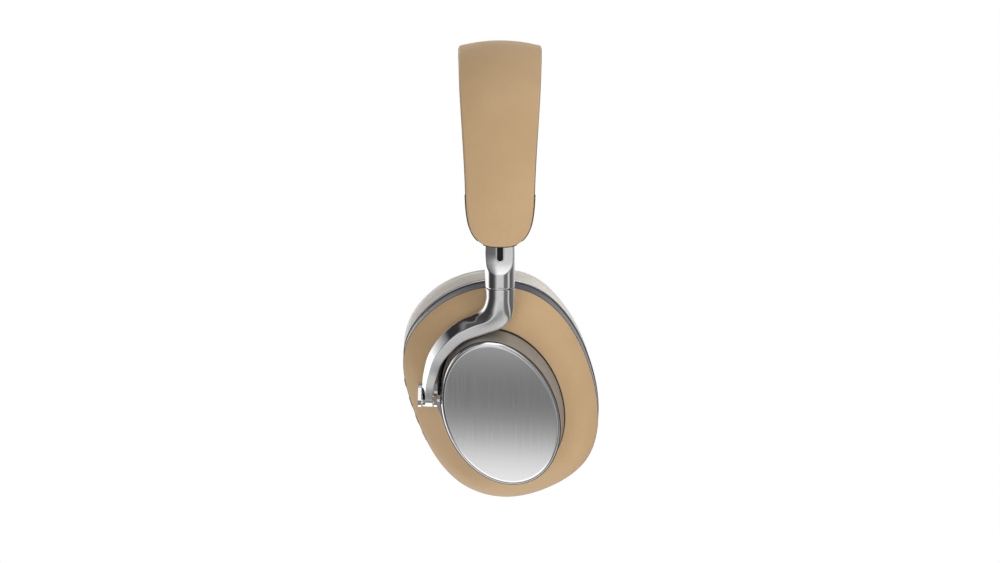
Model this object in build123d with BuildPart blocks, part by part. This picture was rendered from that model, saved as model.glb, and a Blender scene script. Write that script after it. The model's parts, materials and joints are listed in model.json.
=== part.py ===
from build123d import *

import os
from math import atan2, cos, radians, sin, sqrt

# Over ear headphones, wireless, with a slider, a swivel and a tilt hinge on each side.
# Frame: origin under the headband pad at the middle of its top, where the head touches it.
# +X is the wearer's front, +Y the wearer's left, +Z up. Sizes are in millimetres.
# Each side's pieces are drawn for the right side (-Y) and mirrored for the left.

# ---------------------------------------------------------------- headband dimensions
# depths are measured inwards from the outer surface of the band
band_top = 15.5  # outer surface above the head at the middle
top_radius = 100.0  # outer surface over the head
top_half_angle = 38.0
shoulder_radius = 58.0
leg_lean = 6.0  # the legs lean in at the bottom
leg_length = 20.2
crown_radius = 70.0  # the outer surface is crowned from front to back
band_half_width = 22.0  # layers are swept this wide, then trimmed to the outline
# half-width and height of the band's edge, from above its top down to the tongue at its end
band_side = [(18.8, 18), (17.2, -12.9), (14.8, -52.8), (13.9, -66), (12.9, -70.2), (10.7, -74.1), (6.6, -77.2)]
band_low = (0, -78.0)
cover_depth = 6.5  # how deep the leather cover wraps the edges
cover_wall = 2.2
cover_side_wall = 1.7
cavity_depth = 12.5  # the cover is open on the inside
piping_depth, piping_width, piping_proud = 1.0, 4.0, 0.35
pad_near, pad_middle = 7.9, 10.9
leg_thickness = 12.8
pad_half_span, pad_crest_half_width = 56.0, 16.0
pad_inset = 0.6
spring_near, spring_far, spring_half_width = 2.5, 3.5, 7.0
frame_far, frame_half_width = 6.3, 6.5
cable_radius, cable_x, cable_depth = 1.1, 9.0, 4.9
guide_half_width, guide_far = 9.5, 10.3
guide_start = 12.0  # above the swivel joint
guide_length = 34.0  # above the end of the band
landing_length = 46.0
below_leg = -60.0  # cuts in a leg start this far below the swivel joint
leg_room = 20.0  # more than the band's thickness
layer_gap = 0.1
loose_gap = 0.4

# ---------------------------------------------------------------- slider dimensions
# heights are above the swivel joint, depths in front of the slider's axis
axis_depth = 7.1  # slider and swivel axis under the outer surface
collar_drop = 19.1  # swivel joint below the end of the headband
collar_radius = 6.45
collar_gap = 0.3
collar_chamfer = 0.25
face_front = 3.1  # flat front face of the bar
# the round neck curves back to the front face and to the back face between these heights
scoop_low, scoop_high, scoop_knee = 6.1, 11.9, (9.0, 3.95)
back_low, back_high, back_depth, back_knee = 6.2, 12.0, -2.0, (8.6, -3.9)
tongue_step, bar_top, tongue_front = 41.8, 51.1, 1.2
tongue_ramp = 2.5
slot_width, slot_end, slot_floor, slot_run_out = 2.9, 11.9, -0.4, 5.0
insert_front, insert_top_front = 2.3, 1.0  # the cable's jacket fills the slot
passage_gap = 0.35
sliding_gap = 0.05
swivel_pin_radius, pin_low, pin_high = 2.2, -8.0, 7.0
pin_gap = 0.05

# ---------------------------------------------------------------- yoke dimensions
arm_yaw = 1.5  # swivel of the yoke in the resting position
hinge_drop = 49.7
# Stations down the arm, in its own frame: outer edge, inner edge, back, front, the share
# of the width taken by the outer bevel, and how round the section is.
neck_low = -5.4
arm_stations = [
    ((-6.45, neck_low), (6.45, neck_low), -6.45, 6.45, 0.5, 0.95),
    ((-7.3, -8.6), (6.1, -11.4), -4.5, 6.2, 0.5, 0.85),
    ((-11.3, -11.6), (1.9, -16.4), -2.4, 5.7, 0.5, 0.5),
    ((-16.4, -13.7), (-7.0, -19.6), -1.0, 5.2, 0.44, 0.12),
    ((-22.0, -17.5), (-15.3, -22.9), -1.0, 4.8, 0.44, 0.0),
    ((-27.4, -23.0), (-21.0, -27.8), -1.5, 4.2, 0.44, 0.0),
    ((-31.3, -29.5), (-25.1, -33.0), -2.0, 4.0, 0.42, 0.0),
    ((-33.2, -36.5), (-27.0, -38.2), -2.0, 4.0, 0.4, 0.0),
    ((-34.0, -43.0), (-28.6, -43.8), -2.0, 3.8, 0.36, 0.0),
    ((-34.0, -49.2), (-29.0, -49.6), -2.0, 3.4, 0.32, 0.0),
]
round_angles = (222, 172, 98, 35, -42)  # where the five edges start on the round neck
least_bulge = 0.1
knee_share = 0.2
back_inset, front_inset, undercut = 0.5, 0.15, 1.5
tip_u = (-34.0, -29.0)  # faces of the arm's tip, along the hinge axis
barrel_radius, pin_radius = 2.4, 0.9
ear_gap = 0.25
ear_left, ear_right = 1.4, 1.4  # thicknesses
ear_heights = (5.2, 2.7)
# side of an ear, up the cup and out of it, up to where its front edge starts to slope back to its height
ear_side = [(-2.1, -5.6), (-2.1, 1.0), (-1.0, 2.1), (1.2, 2.1)]
ear_shoulder, ear_root = -2.6, -5.6
bridge_middle, bridge_length, bridge_depth = (2.3, -5.2), 9.0, 2.5
# outline of the gusset, up the cup and inwards from the inner ear
gusset = [(2.6, 0), (-3.0, 0), (-16.0, 5.4), (-14.0, 7.4), (2.6, 7.4)]
gusset_base, gusset_depth = -8.3, 7.6

# ---------------------------------------------------------------- cup dimensions
# heights are along the cup's own axis, out of the head, from the hinge
cup_tilt = 12.0
# rim of the leather-covered dome, seen from outside, in the cup's own frame
rim_points = [(0, 46.0), (-17.6, 42.6), (-33.3, 31.8), (-42.0, 17.7), (-42.6, 4.0), (-38.7, -11.8),
              (-30.2, -32.2), (-16.9, -47.5), (-0.2, -53.1), (21.3, -48.2), (38.0, -34.4),
              (42.7, -15.7), (38.6, 9.6), (28.4, 30.4), (14.4, 42.7)]
rim_centre = (0, -4)
plate_face, plate_chamfer = 4.5, 0.7
plate_short, plate_long = 24.6, 34.0
plate_slant = 19.8
oval_centre = (0.3, -4.3)
drum_top, drum_base, drum_wall = 3.2, -8.9, 1.6
drum_growth = 1.0  # the drum's base is larger than its top, mostly towards the front
drum_lip = 0.3
drum_shift = (0.8, 0.5)
cover_top, cover_base = -9.0, -20.0
cover_outside = [(-17.2, -2.3), (-13.6, -6.6)]  # height and margin of the dome between rim and drum
cover_inside = [(-18.4, -4.0), (-15.4, -8.2)]
cover_seat, cover_inner_seat = 1.0, -1.2
wiring_margin = -5.0
wall = 2.0
chassis_far, chassis_wall = -27.0, 2.2
ring_margin = 0.1
carrier_far, carrier_margin = -28.4, 0.3
baffle_near, baffle_far = -25.2, -26.9
baffle_screw_margin = -7.0
baffle_screw_shares = (0.06, 0.22, 0.42, 0.58, 0.76, 0.92)
screw_radius, screw_head_radius, screw_head, screw_length = 1.0, 1.9, 1.2, 1.9
ear_short, ear_long = 19.0, 29.0
ear_centre = (0, -3)
ring_opening, scrim_opening, scrim_thickness = 4.0, 3.7, 0.5
cushion_far = -47.0
cushion_shift = (-0.8, 1.6)
cushion_root = -1.3  # margin where it sits on the ring
cushion_layers = [(-32.0, -0.5), (-41.5, -0.6), (cushion_far, -6.0)]  # height and margin

# controls, as shares of the way round the chassis wall
wall_middle = -23.0  # their height
control_shares = {"power_switch": 0.247, "volume_up_button": 0.279, "action_button": 0.308,
                  "volume_down_button": 0.337}
control_sizes = {"power_switch": (4.2, 2.2), "volume_up_button": (5.6, 2.6), "action_button": (5.2, 2.8),
                 "volume_down_button": (5.6, 2.6)}
control_play, switch_throw, control_proud, control_fillet = 0.3, 1.2, 0.6, 0.4
flange_near, flange_far = -2.75, -3.8
flange_growth = (1.4, 0.8)
port_share, port_size, port_depth, port_wall = 0.535, (9.2, 3.4), 6.5, 0.5
port_floor = 0.8
port_tongue, port_tongue_length = (6.6, 0.7), 4.9
led_share, led_radius, led_opening = 0.365, 0.66, 0.7
microphone_shares = (0.12, 0.4, 0.72)
microphone_port, microphone_radius, microphone_depth, microphone_seat = 0.55, 1.9, 1.3, 1.6

# inside the cup: profiles are radius and height around the driver's axis
driver_hole = 20.0
frame_profile = [(12.2, -20.4), (22.5, -20.4), (22.5, -24.7), (19.8, -24.7), (19.8, -27.0), (18.2, -27.0),
                 (18.2, -22.6), (12.2, -22.6)]
magnet_profile = [(0, -13.2), (12.0, -13.2), (12.0, -22.4), (0, -22.4)]
cone_profile = [(0, -24.6), (4.5, -24.2), (7.5, -23.0), (15.5, -26.0), (17.0, -26.6), (18.0, -26.0),
                (18.0, -25.4), (17.0, -25.9), (15.5, -25.4), (7.5, -22.5), (4.5, -23.7), (0, -24.1)]
board_low, board_thickness, board_margin, chip_height = -3.6, 1.2, -5.5, 1.0
chips = [((-6, 8), (9, 9)), ((7, -6), (7, 5)), ((-5, -14), (5, 7)), ((6, -18), (4, 4))]
battery_size, battery_corner, battery_thickness = (26, 38), 2.5, 4.4

reach = 120.0  # longer than the object is wide
spare = 1.0  # cutters run this far past what they cut

os.makedirs("parts", exist_ok=True)


def save(part, name):
    part.label = name
    export_step(part, f"parts/{name}.step")


def save_pair(part, name):
    """Writes the right-hand piece and its mirror image for the left."""
    save(part, f"{name}_right")
    with BuildPart() as twin:
        mirror(part, about=Plane.XZ)
    save(twin.part, f"{name}_left")


# ---------------------------------------------------------------- frames
lean = radians(leg_lean)
up = Vector(0, -sin(lean), cos(lean))
out = Vector(0, -cos(lean), -sin(lean))
fore = Vector(1, 0, 0)

arch_centre = (0, band_top - top_radius)
phi = radians(top_half_angle)
leg_angle = radians(90 + leg_lean)


def on_arch(angle, radius, centre):
    return (centre[0] - radius * sin(angle), centre[1] + radius * cos(angle))


shoulder_centre = on_arch(phi, top_radius - shoulder_radius, arch_centre)
crown_end = on_arch(phi, top_radius, arch_centre)
shoulder_mid = on_arch((phi + leg_angle) / 2, shoulder_radius, shoulder_centre)
shoulder_end = on_arch(leg_angle, shoulder_radius, shoulder_centre)
leg_end = (shoulder_end[0] + leg_length * sin(lean), shoulder_end[1] - leg_length * cos(lean))

collar = Vector(0, *leg_end) - out * axis_depth - up * collar_drop
slider_plane = Plane(origin=collar, x_dir=fore, z_dir=out)
swivel_plane = Plane(origin=collar, x_dir=fore, z_dir=up)
side_plane = Plane(origin=collar, x_dir=up, z_dir=fore)  # local y runs out of the slider's face

yaw = radians(arm_yaw)
arm_x = fore * cos(yaw) + out * sin(yaw)
arm_z = out * cos(yaw) - fore * sin(yaw)
arm_plane = Plane(origin=collar, x_dir=arm_x, z_dir=arm_z)

tilt = radians(cup_tilt)
cup_origin = collar - up * hinge_drop
cup_plane = Plane(origin=cup_origin, x_dir=arm_x, z_dir=arm_z * cos(tilt) - up * sin(tilt))
hinge_plane = Plane(origin=cup_origin, x_dir=cup_plane.y_dir, z_dir=arm_x)  # local y runs out of the cup


def mirrored(point):
    return (-point[0], point[1])


# ---------------------------------------------------------------- headband helpers
run_out = 4.0  # the swept layers run past the end before they are trimmed
tail = (leg_end[0] + run_out * sin(lean), leg_end[1] - run_out * cos(lean))
with BuildLine(Plane.YZ) as arch:
    Line(tail, shoulder_end)
    ThreePointArc(shoulder_end, shoulder_mid, crown_end)
    ThreePointArc(crown_end, (0, band_top), mirrored(crown_end))
    ThreePointArc(mirrored(crown_end), mirrored(shoulder_mid), mirrored(shoulder_end))
    Line(mirrored(shoulder_end), mirrored(tail))
arch_path = arch.wires()[0]
arch_start = Plane(origin=(0, *tail), x_dir=fore, z_dir=up)


def band_section(near, far, half_width=band_half_width):
    """Crowned cross-section of a layer between two depths under the outer surface."""
    sag = half_width**2 / (2 * crown_radius)
    with BuildSketch(arch_start) as section:
        with BuildLine():
            ThreePointArc((-half_width, near + sag), (0, near), (half_width, near + sag))
            Line((half_width, near + sag), (half_width, far + sag))
            ThreePointArc((half_width, far + sag), (0, far), (-half_width, far + sag))
            Line((-half_width, far + sag), (-half_width, near + sag))
        make_face()
    return section.sketch


def band_outline(inset=0.0):
    """Outline of the band seen from the side, wide at the top and rounded at the end."""
    line = [*band_side, band_low]
    side = []
    for i, point in enumerate(line):
        before, after = line[max(i - 1, 0)], line[min(i + 1, len(line) - 1)]
        along = Vector(after[0] - before[0], after[1] - before[1]).normalized()
        side.append((point[0] + inset * along.Y, point[1] - inset * along.X))
    side[-1] = (0, band_low[1] + inset)
    with BuildSketch(Plane.XZ.offset(-reach)) as outline:
        with BuildLine():
            half = Spline(*side, tangents=[(-0.05, -1), (-1, 0)])
            mirror(half, about=Plane.YZ)
            Line(side[0], mirrored(side[0]))
        make_face()
    return outline.sketch


def leg_box(half_width, low, high, back, front):
    """Box along the right leg in the slider's frame: low to high, back to front."""
    with BuildPart(slider_plane) as block:
        with Locations((0, (low + high) / 2, (back + front) / 2)):
            Box(2 * half_width, high - low, front - back)
    return block.part


def leg_side(low, high):
    """Everything in the right leg between two heights above the swivel joint."""
    return leg_box(band_half_width + spare, low, high, -reach / 4, reach / 4)


def bar_space(gap):
    """Room for the bar and its thinner tongue, with a gap all round."""
    with BuildPart() as room:
        add(leg_box(collar_radius + gap, 0, tongue_step + tongue_ramp, back_depth - gap, face_front + gap))
        add(leg_box(collar_radius + gap, 0, bar_top + spare, back_depth - gap, tongue_front + gap))
    return room.part


def both_sides(part):
    with BuildPart() as pair:
        add(part)
        mirror(part, about=Plane.XZ)
    return pair.part


with BuildPart() as guide_pocket:
    sweep(band_section(cover_wall, guide_far + 2 * layer_gap, guide_half_width + 2 * layer_gap), path=arch_path)
    add(leg_side(0, collar_drop + landing_length + loose_gap), mode=Mode.INTERSECT)

# ---------------------------------------------------------------- headband
with BuildPart() as cover_cavity:
    sweep(band_section(cover_wall, cavity_depth), path=arch_path)
    extrude(band_outline(cover_side_wall), amount=2 * reach, mode=Mode.INTERSECT)

with BuildPart() as headband_cover:
    sweep(band_section(0, cover_depth), path=arch_path)
    extrude(band_outline(), amount=2 * reach, mode=Mode.INTERSECT)
    add(cover_cavity.part, mode=Mode.SUBTRACT)
    add(both_sides(bar_space(passage_gap)), mode=Mode.SUBTRACT)
save(headband_cover.part, "headband_cover")

with BuildPart() as headband_piping:
    sweep(band_section(cover_depth + layer_gap, cover_depth + layer_gap + piping_depth), path=arch_path)
    extrude(band_outline(-piping_proud), amount=2 * reach, mode=Mode.INTERSECT)
    extrude(band_outline(piping_width), amount=2 * reach, mode=Mode.SUBTRACT)
    add(both_sides(guide_pocket.part), mode=Mode.SUBTRACT)
save(headband_piping.part, "headband_piping")

pad_low = arch_centre[1] + sqrt((top_radius - leg_thickness) ** 2 - pad_half_span**2)
with BuildPart() as headband_pad:
    sweep(band_section(pad_near, leg_thickness), path=arch_path)
    # thicker over the head
    with BuildSketch(Plane.YZ.offset(-pad_crest_half_width)):
        with BuildLine():
            ThreePointArc((-pad_half_span, pad_low), (0, 0), (pad_half_span, pad_low))
            ThreePointArc((pad_half_span, pad_low), (0, band_top - pad_middle), (-pad_half_span, pad_low))
        make_face()
    extrude(amount=2 * pad_crest_half_width)
    extrude(band_outline(pad_inset), amount=2 * reach, mode=Mode.INTERSECT)
    add(both_sides(guide_pocket.part), mode=Mode.SUBTRACT)
    add(both_sides(bar_space(passage_gap)), mode=Mode.SUBTRACT)
save(headband_pad.part, "headband_pad")

with BuildPart() as headband_spring:
    sweep(band_section(spring_near, spring_far, spring_half_width), path=arch_path)
    add(both_sides(leg_side(below_leg, collar_drop + guide_length + spare)), mode=Mode.SUBTRACT)
save(headband_spring.part, "headband_spring")

with BuildPart() as headband_frame:
    sweep(band_section(spring_far + layer_gap, frame_far, frame_half_width), path=arch_path)
    add(both_sides(leg_side(below_leg, collar_drop + landing_length + spare)), mode=Mode.SUBTRACT)
save(headband_frame.part, "headband_frame")

with BuildPart() as headband_cable:
    with BuildSketch(arch_start):
        with Locations((cable_x, cable_depth)):
            Circle(cable_radius)
    sweep(path=arch_path)
    add(both_sides(leg_side(below_leg, collar_drop + landing_length + spare)), mode=Mode.SUBTRACT)
save(headband_cable.part, "headband_cable")

with BuildPart() as spring_landing:
    sweep(band_section(0, spring_far + layer_gap), path=arch_path)
    add(leg_side(collar_drop + guide_length, reach), mode=Mode.INTERSECT)

with BuildPart() as slider_guide:
    sweep(band_section(spring_near, guide_far), path=arch_path)
    extrude(band_outline(cover_side_wall + loose_gap), amount=2 * reach, mode=Mode.INTERSECT)
    add(leg_box(guide_half_width, guide_start, collar_drop + landing_length, -leg_room, leg_room),
        mode=Mode.INTERSECT)
    add(bar_space(sliding_gap), mode=Mode.SUBTRACT)
    add(spring_landing.part, mode=Mode.SUBTRACT)
save_pair(slider_guide.part, "slider_guide")

# ---------------------------------------------------------------- slider
with BuildPart() as slider_arm:
    with BuildSketch(swivel_plane.offset(collar_gap / 2)):
        Circle(collar_radius)
    extrude(amount=bar_top - collar_gap / 2)
    chamfer(slider_arm.faces().sort_by(Axis(collar, up))[0].edges(), collar_chamfer)
    # front face, with a rounded run-out into the neck
    with BuildSketch(side_plane.offset(-2 * collar_radius)):
        with BuildLine():
            Polyline((scoop_high, face_front), (bar_top + spare, face_front),
                     (bar_top + spare, collar_radius + spare), (scoop_low - spare, collar_radius + spare),
                     (scoop_low, collar_radius))
            ThreePointArc((scoop_low, collar_radius), scoop_knee, (scoop_high, face_front))
        make_face()
    extrude(amount=4 * collar_radius, mode=Mode.SUBTRACT)
    # thinner tongue at the top
    with BuildSketch(side_plane.offset(-2 * collar_radius)):
        with BuildLine():
            Polyline((tongue_step, face_front + spare), (bar_top + spare, face_front + spare),
                     (bar_top + spare, tongue_front), (tongue_step + tongue_ramp, tongue_front), close=True)
        make_face()
    extrude(amount=4 * collar_radius, mode=Mode.SUBTRACT)
    # back face: a plain flat with a rounded run-out
    with BuildSketch(side_plane.offset(-2 * collar_radius)):
        with BuildLine():
            Polyline((back_high, back_depth), (bar_top + spare, back_depth),
                     (bar_top + spare, -collar_radius - spare), (back_low - spare, -collar_radius - spare),
                     (back_low, -collar_radius))
            ThreePointArc((back_low, -collar_radius), back_knee, (back_high, back_depth))
        make_face()
    extrude(amount=4 * collar_radius, mode=Mode.SUBTRACT)
    # cable slot down the middle of the front
    slot_length = bar_top + slot_run_out - slot_end
    with BuildSketch(slider_plane.offset(slot_floor)):
        with Locations((0, slot_end + slot_length / 2)):
            SlotOverall(slot_length, slot_width, rotation=90)
    extrude(amount=2 * collar_radius, mode=Mode.SUBTRACT)
    # socket for the swivel pin
    with BuildSketch(swivel_plane):
        Circle(swivel_pin_radius + pin_gap)
    extrude(amount=pin_high + pin_gap, mode=Mode.SUBTRACT)
save_pair(slider_arm.part, "slider_arm")

with BuildPart() as slider_cable:
    with BuildSketch(slider_plane.offset(slot_floor + layer_gap)):
        with Locations((0, slot_end + slot_length / 2)):
            SlotOverall(slot_length - 2 * layer_gap, slot_width - 2 * layer_gap, rotation=90)
    extrude(amount=insert_front - slot_floor)
    add(leg_box(collar_radius, 0, bar_top - spare / 2, -collar_radius, collar_radius), mode=Mode.INTERSECT)
    add(leg_box(collar_radius, tongue_step - spare, bar_top, insert_top_front, collar_radius), mode=Mode.SUBTRACT)
save_pair(slider_cable.part, "slider_cable")


# ---------------------------------------------------------------- yoke arm
def arm_section(outer, inner, back, front, bevel, roundness):
    """Five-sided section with bulged sides that turns into a circle as roundness nears 1."""
    across = Vector(inner[0] - outer[0], inner[1] - outer[1])
    width = across.length
    middle = arm_plane.from_local_coords(Vector((outer[0] + inner[0]) / 2, (outer[1] + inner[1]) / 2, 0))
    across_dir = arm_x * (across.X / width) + up * (across.Y / width)
    plane = Plane(origin=middle, x_dir=across_dir, z_dir=across_dir.cross(arm_z))
    half = width / 2
    knee = back + knee_share * (front - back)
    square = [(-half + back_inset, back), (-half, knee), (-half + bevel * width, front),
              (half - front_inset, front), (half - undercut, back)]
    round_height = (front - back) / 2
    lift = (front + back) / 2
    corners, bulges = [], []
    for i, corner in enumerate(square):
        angle = round_angles[i]
        following = round_angles[(i + 1) % 5] - (360 if i == 4 else 0)
        swing = radians((angle + following) / 2)
        on_round = (half * cos(radians(angle)), lift + round_height * sin(radians(angle)))
        corners.append(tuple(roundness * on_round[k] + (1 - roundness) * corner[k] for k in (0, 1)))
        bulges.append((half * cos(swing), lift + round_height * sin(swing)))
    with BuildSketch(plane) as section:
        with BuildLine():
            for i in range(5):
                start, end = corners[i], corners[(i + 1) % 5]
                chord = Vector(end[0] - start[0], end[1] - start[1])
                outward = Vector(-chord.Y, chord.X).normalized()
                flat = ((start[0] + end[0]) / 2 + least_bulge * outward.X,
                        (start[1] + end[1]) / 2 + least_bulge * outward.Y)
                mid = tuple(roundness * bulges[i][k] + (1 - roundness) * flat[k] for k in (0, 1))
                ThreePointArc(start, mid, end)
        make_face()
    return section.sketch


with BuildPart() as yoke_arm:
    with BuildSketch(swivel_plane.offset(-collar_gap / 2)):
        Circle(collar_radius)
    extrude(amount=neck_low + collar_gap / 2)
    chamfer(yoke_arm.faces().sort_by(Axis(collar, up))[-1].edges(), collar_chamfer)
    loft([arm_section(*station) for station in arm_stations])
    # barrel around the hinge pin
    with BuildSketch(hinge_plane.offset(tip_u[0])):
        Circle(barrel_radius)
    extrude(amount=tip_u[1] - tip_u[0])
    with BuildSketch(hinge_plane.offset(tip_u[0] - spare)):
        Circle(pin_radius + pin_gap)
    extrude(amount=tip_u[1] - tip_u[0] + 2 * spare, mode=Mode.SUBTRACT)
    with BuildSketch(swivel_plane):
        Circle(swivel_pin_radius)
    extrude(amount=pin_low, mode=Mode.SUBTRACT)
save_pair(yoke_arm.part, "yoke_arm")

with BuildPart() as swivel_pin:
    with BuildSketch(swivel_plane.offset(pin_low)):
        Circle(swivel_pin_radius)
    extrude(amount=pin_high - pin_low)
save_pair(swivel_pin.part, "swivel_pin")

with BuildPart() as swivel_washer:
    with BuildSketch(swivel_plane.offset(-collar_gap / 2)):
        Circle(collar_radius - 2 * collar_chamfer)
        Circle(swivel_pin_radius, mode=Mode.SUBTRACT)
    extrude(amount=collar_gap - sliding_gap)
save_pair(swivel_washer.part, "swivel_washer")


# ---------------------------------------------------------------- cup outlines
def oval_reach(angle, short, long):
    """Distance from its centre to a slanted oval's edge in a direction."""
    turned = angle - radians(90 + plate_slant)
    return short * long / sqrt((short * cos(turned)) ** 2 + (long * sin(turned)) ** 2)


def cup_face(w, margin=0.0, to_oval=0.0, oval_margin=0.0, shift=(0, 0)):
    """Smooth closed outline at height w, from the rim (to_oval=0) to the drum's oval (1)."""
    places = []
    for u, v in rim_points:
        angle = atan2(v - rim_centre[1], u - rim_centre[0])
        rim = sqrt((u - rim_centre[0]) ** 2 + (v - rim_centre[1]) ** 2) + margin
        growth = drum_growth + oval_margin
        oval = oval_reach(angle, plate_short + growth, plate_long + growth)
        length = (1 - to_oval) * rim + to_oval * oval
        places.append((rim_centre[0] + shift[0] + length * cos(angle),
                       rim_centre[1] + shift[1] + length * sin(angle)))
    with BuildSketch(cup_plane.offset(w)) as face:
        with BuildLine():
            Spline(*places, periodic=True)
        make_face()
    return face.sketch


def oval_face(w, growth=0.0, shift=(0, 0)):
    """Slanted oval of the plate at height w, grown and shifted."""
    with BuildSketch(cup_plane.offset(w)) as face:
        with Locations((oval_centre[0] + shift[0], oval_centre[1] + shift[1])):
            Ellipse(plate_short + growth, plate_long + growth, rotation=plate_slant)
    return face.sketch


def ear_face(w, growth=0.0):
    """Upright oval at height w, for the ear opening."""
    with BuildSketch(cup_plane.offset(w)) as face:
        with Locations(ear_centre):
            Ellipse(ear_short + growth, ear_long + growth)
    return face.sketch


# ---------------------------------------------------------------- dome, drum and plate
with BuildPart() as cover_hollow:
    loft([cup_face(cover_base - spare, -wall), *[cup_face(w, margin) for w, margin in cover_inside],
          cup_face(cover_top - wall, to_oval=1, oval_margin=cover_inner_seat)])

with BuildPart() as outer_cover:
    loft([cup_face(cover_base), *[cup_face(w, margin) for w, margin in cover_outside],
          cup_face(cover_top, to_oval=1, oval_margin=cover_seat)])
    add(cover_hollow.part, mode=Mode.SUBTRACT)
    # opening under the drum for the wiring
    extrude(oval_face(cover_top + spare, wiring_margin), amount=-3 * wall, mode=Mode.SUBTRACT)
save_pair(outer_cover.part, "outer_cover")

with BuildPart() as drum_hollow:
    loft([oval_face(drum_base - spare, drum_growth - drum_wall, drum_shift),
          oval_face(drum_top - drum_wall, -drum_wall)])

with BuildPart() as drum:
    loft([oval_face(drum_base, drum_growth, drum_shift), oval_face(drum_top, drum_lip)])
    add(drum_hollow.part, mode=Mode.SUBTRACT)
save_pair(drum.part, "drum")

with BuildPart() as end_plate:
    extrude(oval_face(drum_top + sliding_gap), amount=plate_face - drum_top - sliding_gap)
    chamfer(end_plate.faces().sort_by(Axis(cup_plane.origin, cup_plane.z_dir))[-1].edges(), plate_chamfer)
save_pair(end_plate.part, "end_plate")

# hinge bracket: two ears joined behind the arm's tip, gusseted to the drum's rear wall
ears = ((tip_u[0] - ear_gap - ear_left, tip_u[0] - ear_gap),
        (tip_u[1] + ear_gap, tip_u[1] + ear_gap + ear_right))
with BuildPart() as drum_room:
    loft([oval_face(drum_base, drum_growth + layer_gap, drum_shift),
          oval_face(drum_top + layer_gap, drum_lip + layer_gap)])

with BuildPart() as hinge_bracket:
    for (low, high), height in zip(ears, ear_heights):
        with BuildSketch(hinge_plane.offset(low)):
            with BuildLine():
                Polyline(*ear_side, (height, ear_shoulder), (height, ear_root), close=True)
            make_face()
        extrude(amount=high - low)
    with BuildSketch(hinge_plane.offset(ears[0][0])):
        with Locations(bridge_middle):
            Rectangle(bridge_length, bridge_depth)
    extrude(amount=ears[1][1] - ears[0][0])
    with BuildSketch(cup_plane.offset(gusset_base)):
        with BuildLine():
            Polyline(*[(ears[1][1] + inward, height) for height, inward in gusset], close=True)
        make_face()
    extrude(amount=gusset_depth)
    add(drum_room.part, mode=Mode.SUBTRACT)
    with BuildSketch(hinge_plane.offset(ears[0][0] - spare)):
        Circle(pin_radius)
    extrude(amount=ears[1][1] - ears[0][0] + 2 * spare, mode=Mode.SUBTRACT)
save_pair(hinge_bracket.part, "hinge_bracket")

with BuildPart() as hinge_pin:
    with BuildSketch(hinge_plane.offset(ears[0][0] + layer_gap)):
        Circle(pin_radius)
    extrude(amount=ears[1][1] - ears[0][0] - 4 * layer_gap)
save_pair(hinge_pin.part, "hinge_pin")

# ---------------------------------------------------------------- chassis and controls
chassis_near = cover_base - sliding_gap
wall_edge = cup_face(wall_middle, ring_margin).edges()[0]


def wall_place(share):
    """Plane on the chassis wall at a share of its outline: z out of the wall, y across the cup."""
    place = wall_edge.position_at(share)
    tangent = wall_edge.tangent_at(share)
    outward = tangent.cross(cup_plane.z_dir)
    if outward.dot(place - cup_plane.from_local_coords(Vector(*rim_centre, wall_middle))) < 0:
        outward = -outward
    return Plane(origin=place, x_dir=tangent, z_dir=outward)


def slot_block(plane, length, height, low, high):
    with BuildPart() as block:
        with BuildSketch(plane.offset(low)):
            SlotOverall(length, height)
        extrude(amount=high - low)
    return block.part


def wall_opening(share, length, height):
    return slot_block(wall_place(share), length, height, -2 * chassis_wall, chassis_wall)


def control_opening(name):
    length, height = control_sizes[name]
    slack = control_play + (switch_throw if name == "power_switch" else 0)
    return wall_opening(control_shares[name], length + 2 * slack, height + 2 * control_play)


def chassis_body(openings):
    with BuildPart() as body:
        extrude(cup_face(chassis_near, ring_margin), amount=chassis_far - chassis_near)
        extrude(cup_face(chassis_near, ring_margin - chassis_wall), amount=chassis_far - chassis_near,
                mode=Mode.SUBTRACT)
        for opening in openings:
            add(opening, mode=Mode.SUBTRACT)
        for share in microphone_shares:
            with BuildSketch(wall_place(share).offset(-chassis_wall - spare)):
                Circle(microphone_port)
            extrude(amount=chassis_wall + 2 * spare, mode=Mode.SUBTRACT)
    return body.part


right_openings = [control_opening(name) for name in control_shares]
right_openings.append(wall_opening(port_share, *port_size))
with BuildPart() as led_hole:
    with BuildSketch(wall_place(led_share).offset(-2 * chassis_wall)):
        Circle(led_opening)
    extrude(amount=3 * chassis_wall)
right_openings.append(led_hole.part)
save(chassis_body(right_openings), "chassis_right")

with BuildPart() as left_chassis:
    mirror(chassis_body([control_opening("action_button")]), about=Plane.XZ)
save(left_chassis.part, "chassis_left")


def control_button(name):
    """Rounded cap that stands proud of the wall, with a retaining flange behind it."""
    place = wall_place(control_shares[name])
    length, height = control_sizes[name]
    with BuildPart() as button:
        add(slot_block(place, length, height, flange_near, control_proud))
        fillet(button.faces().sort_by(Axis(place.origin, place.z_dir))[-1].edges(), control_fillet)
        add(slot_block(place, length + flange_growth[0], height + flange_growth[1], flange_far, flange_near))
    return button.part


for control in control_shares:
    save(control_button(control), control)
with BuildPart() as quick_action_button:
    mirror(control_button("action_button"), about=Plane.XZ)
save(quick_action_button.part, "quick_action_button")

port_place = wall_place(port_share)
with BuildPart() as usb_port:
    add(slot_block(port_place, port_size[0] - layer_gap, port_size[1] - layer_gap, -port_depth, -2 * layer_gap))
    add(slot_block(port_place, port_size[0] - 2 * port_wall, port_size[1] - 2 * port_wall,
                   port_floor - port_depth, 0), mode=Mode.SUBTRACT)
    with BuildSketch(port_place.offset(-port_depth + port_wall)):
        Rectangle(*port_tongue)
    extrude(amount=port_tongue_length)
save(usb_port.part, "usb_port")

with BuildPart() as status_led:
    with BuildSketch(wall_place(led_share).offset(-chassis_wall)):
        Circle(led_radius)
    extrude(amount=chassis_wall + layer_gap)
save(status_led.part, "status_led")

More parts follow.
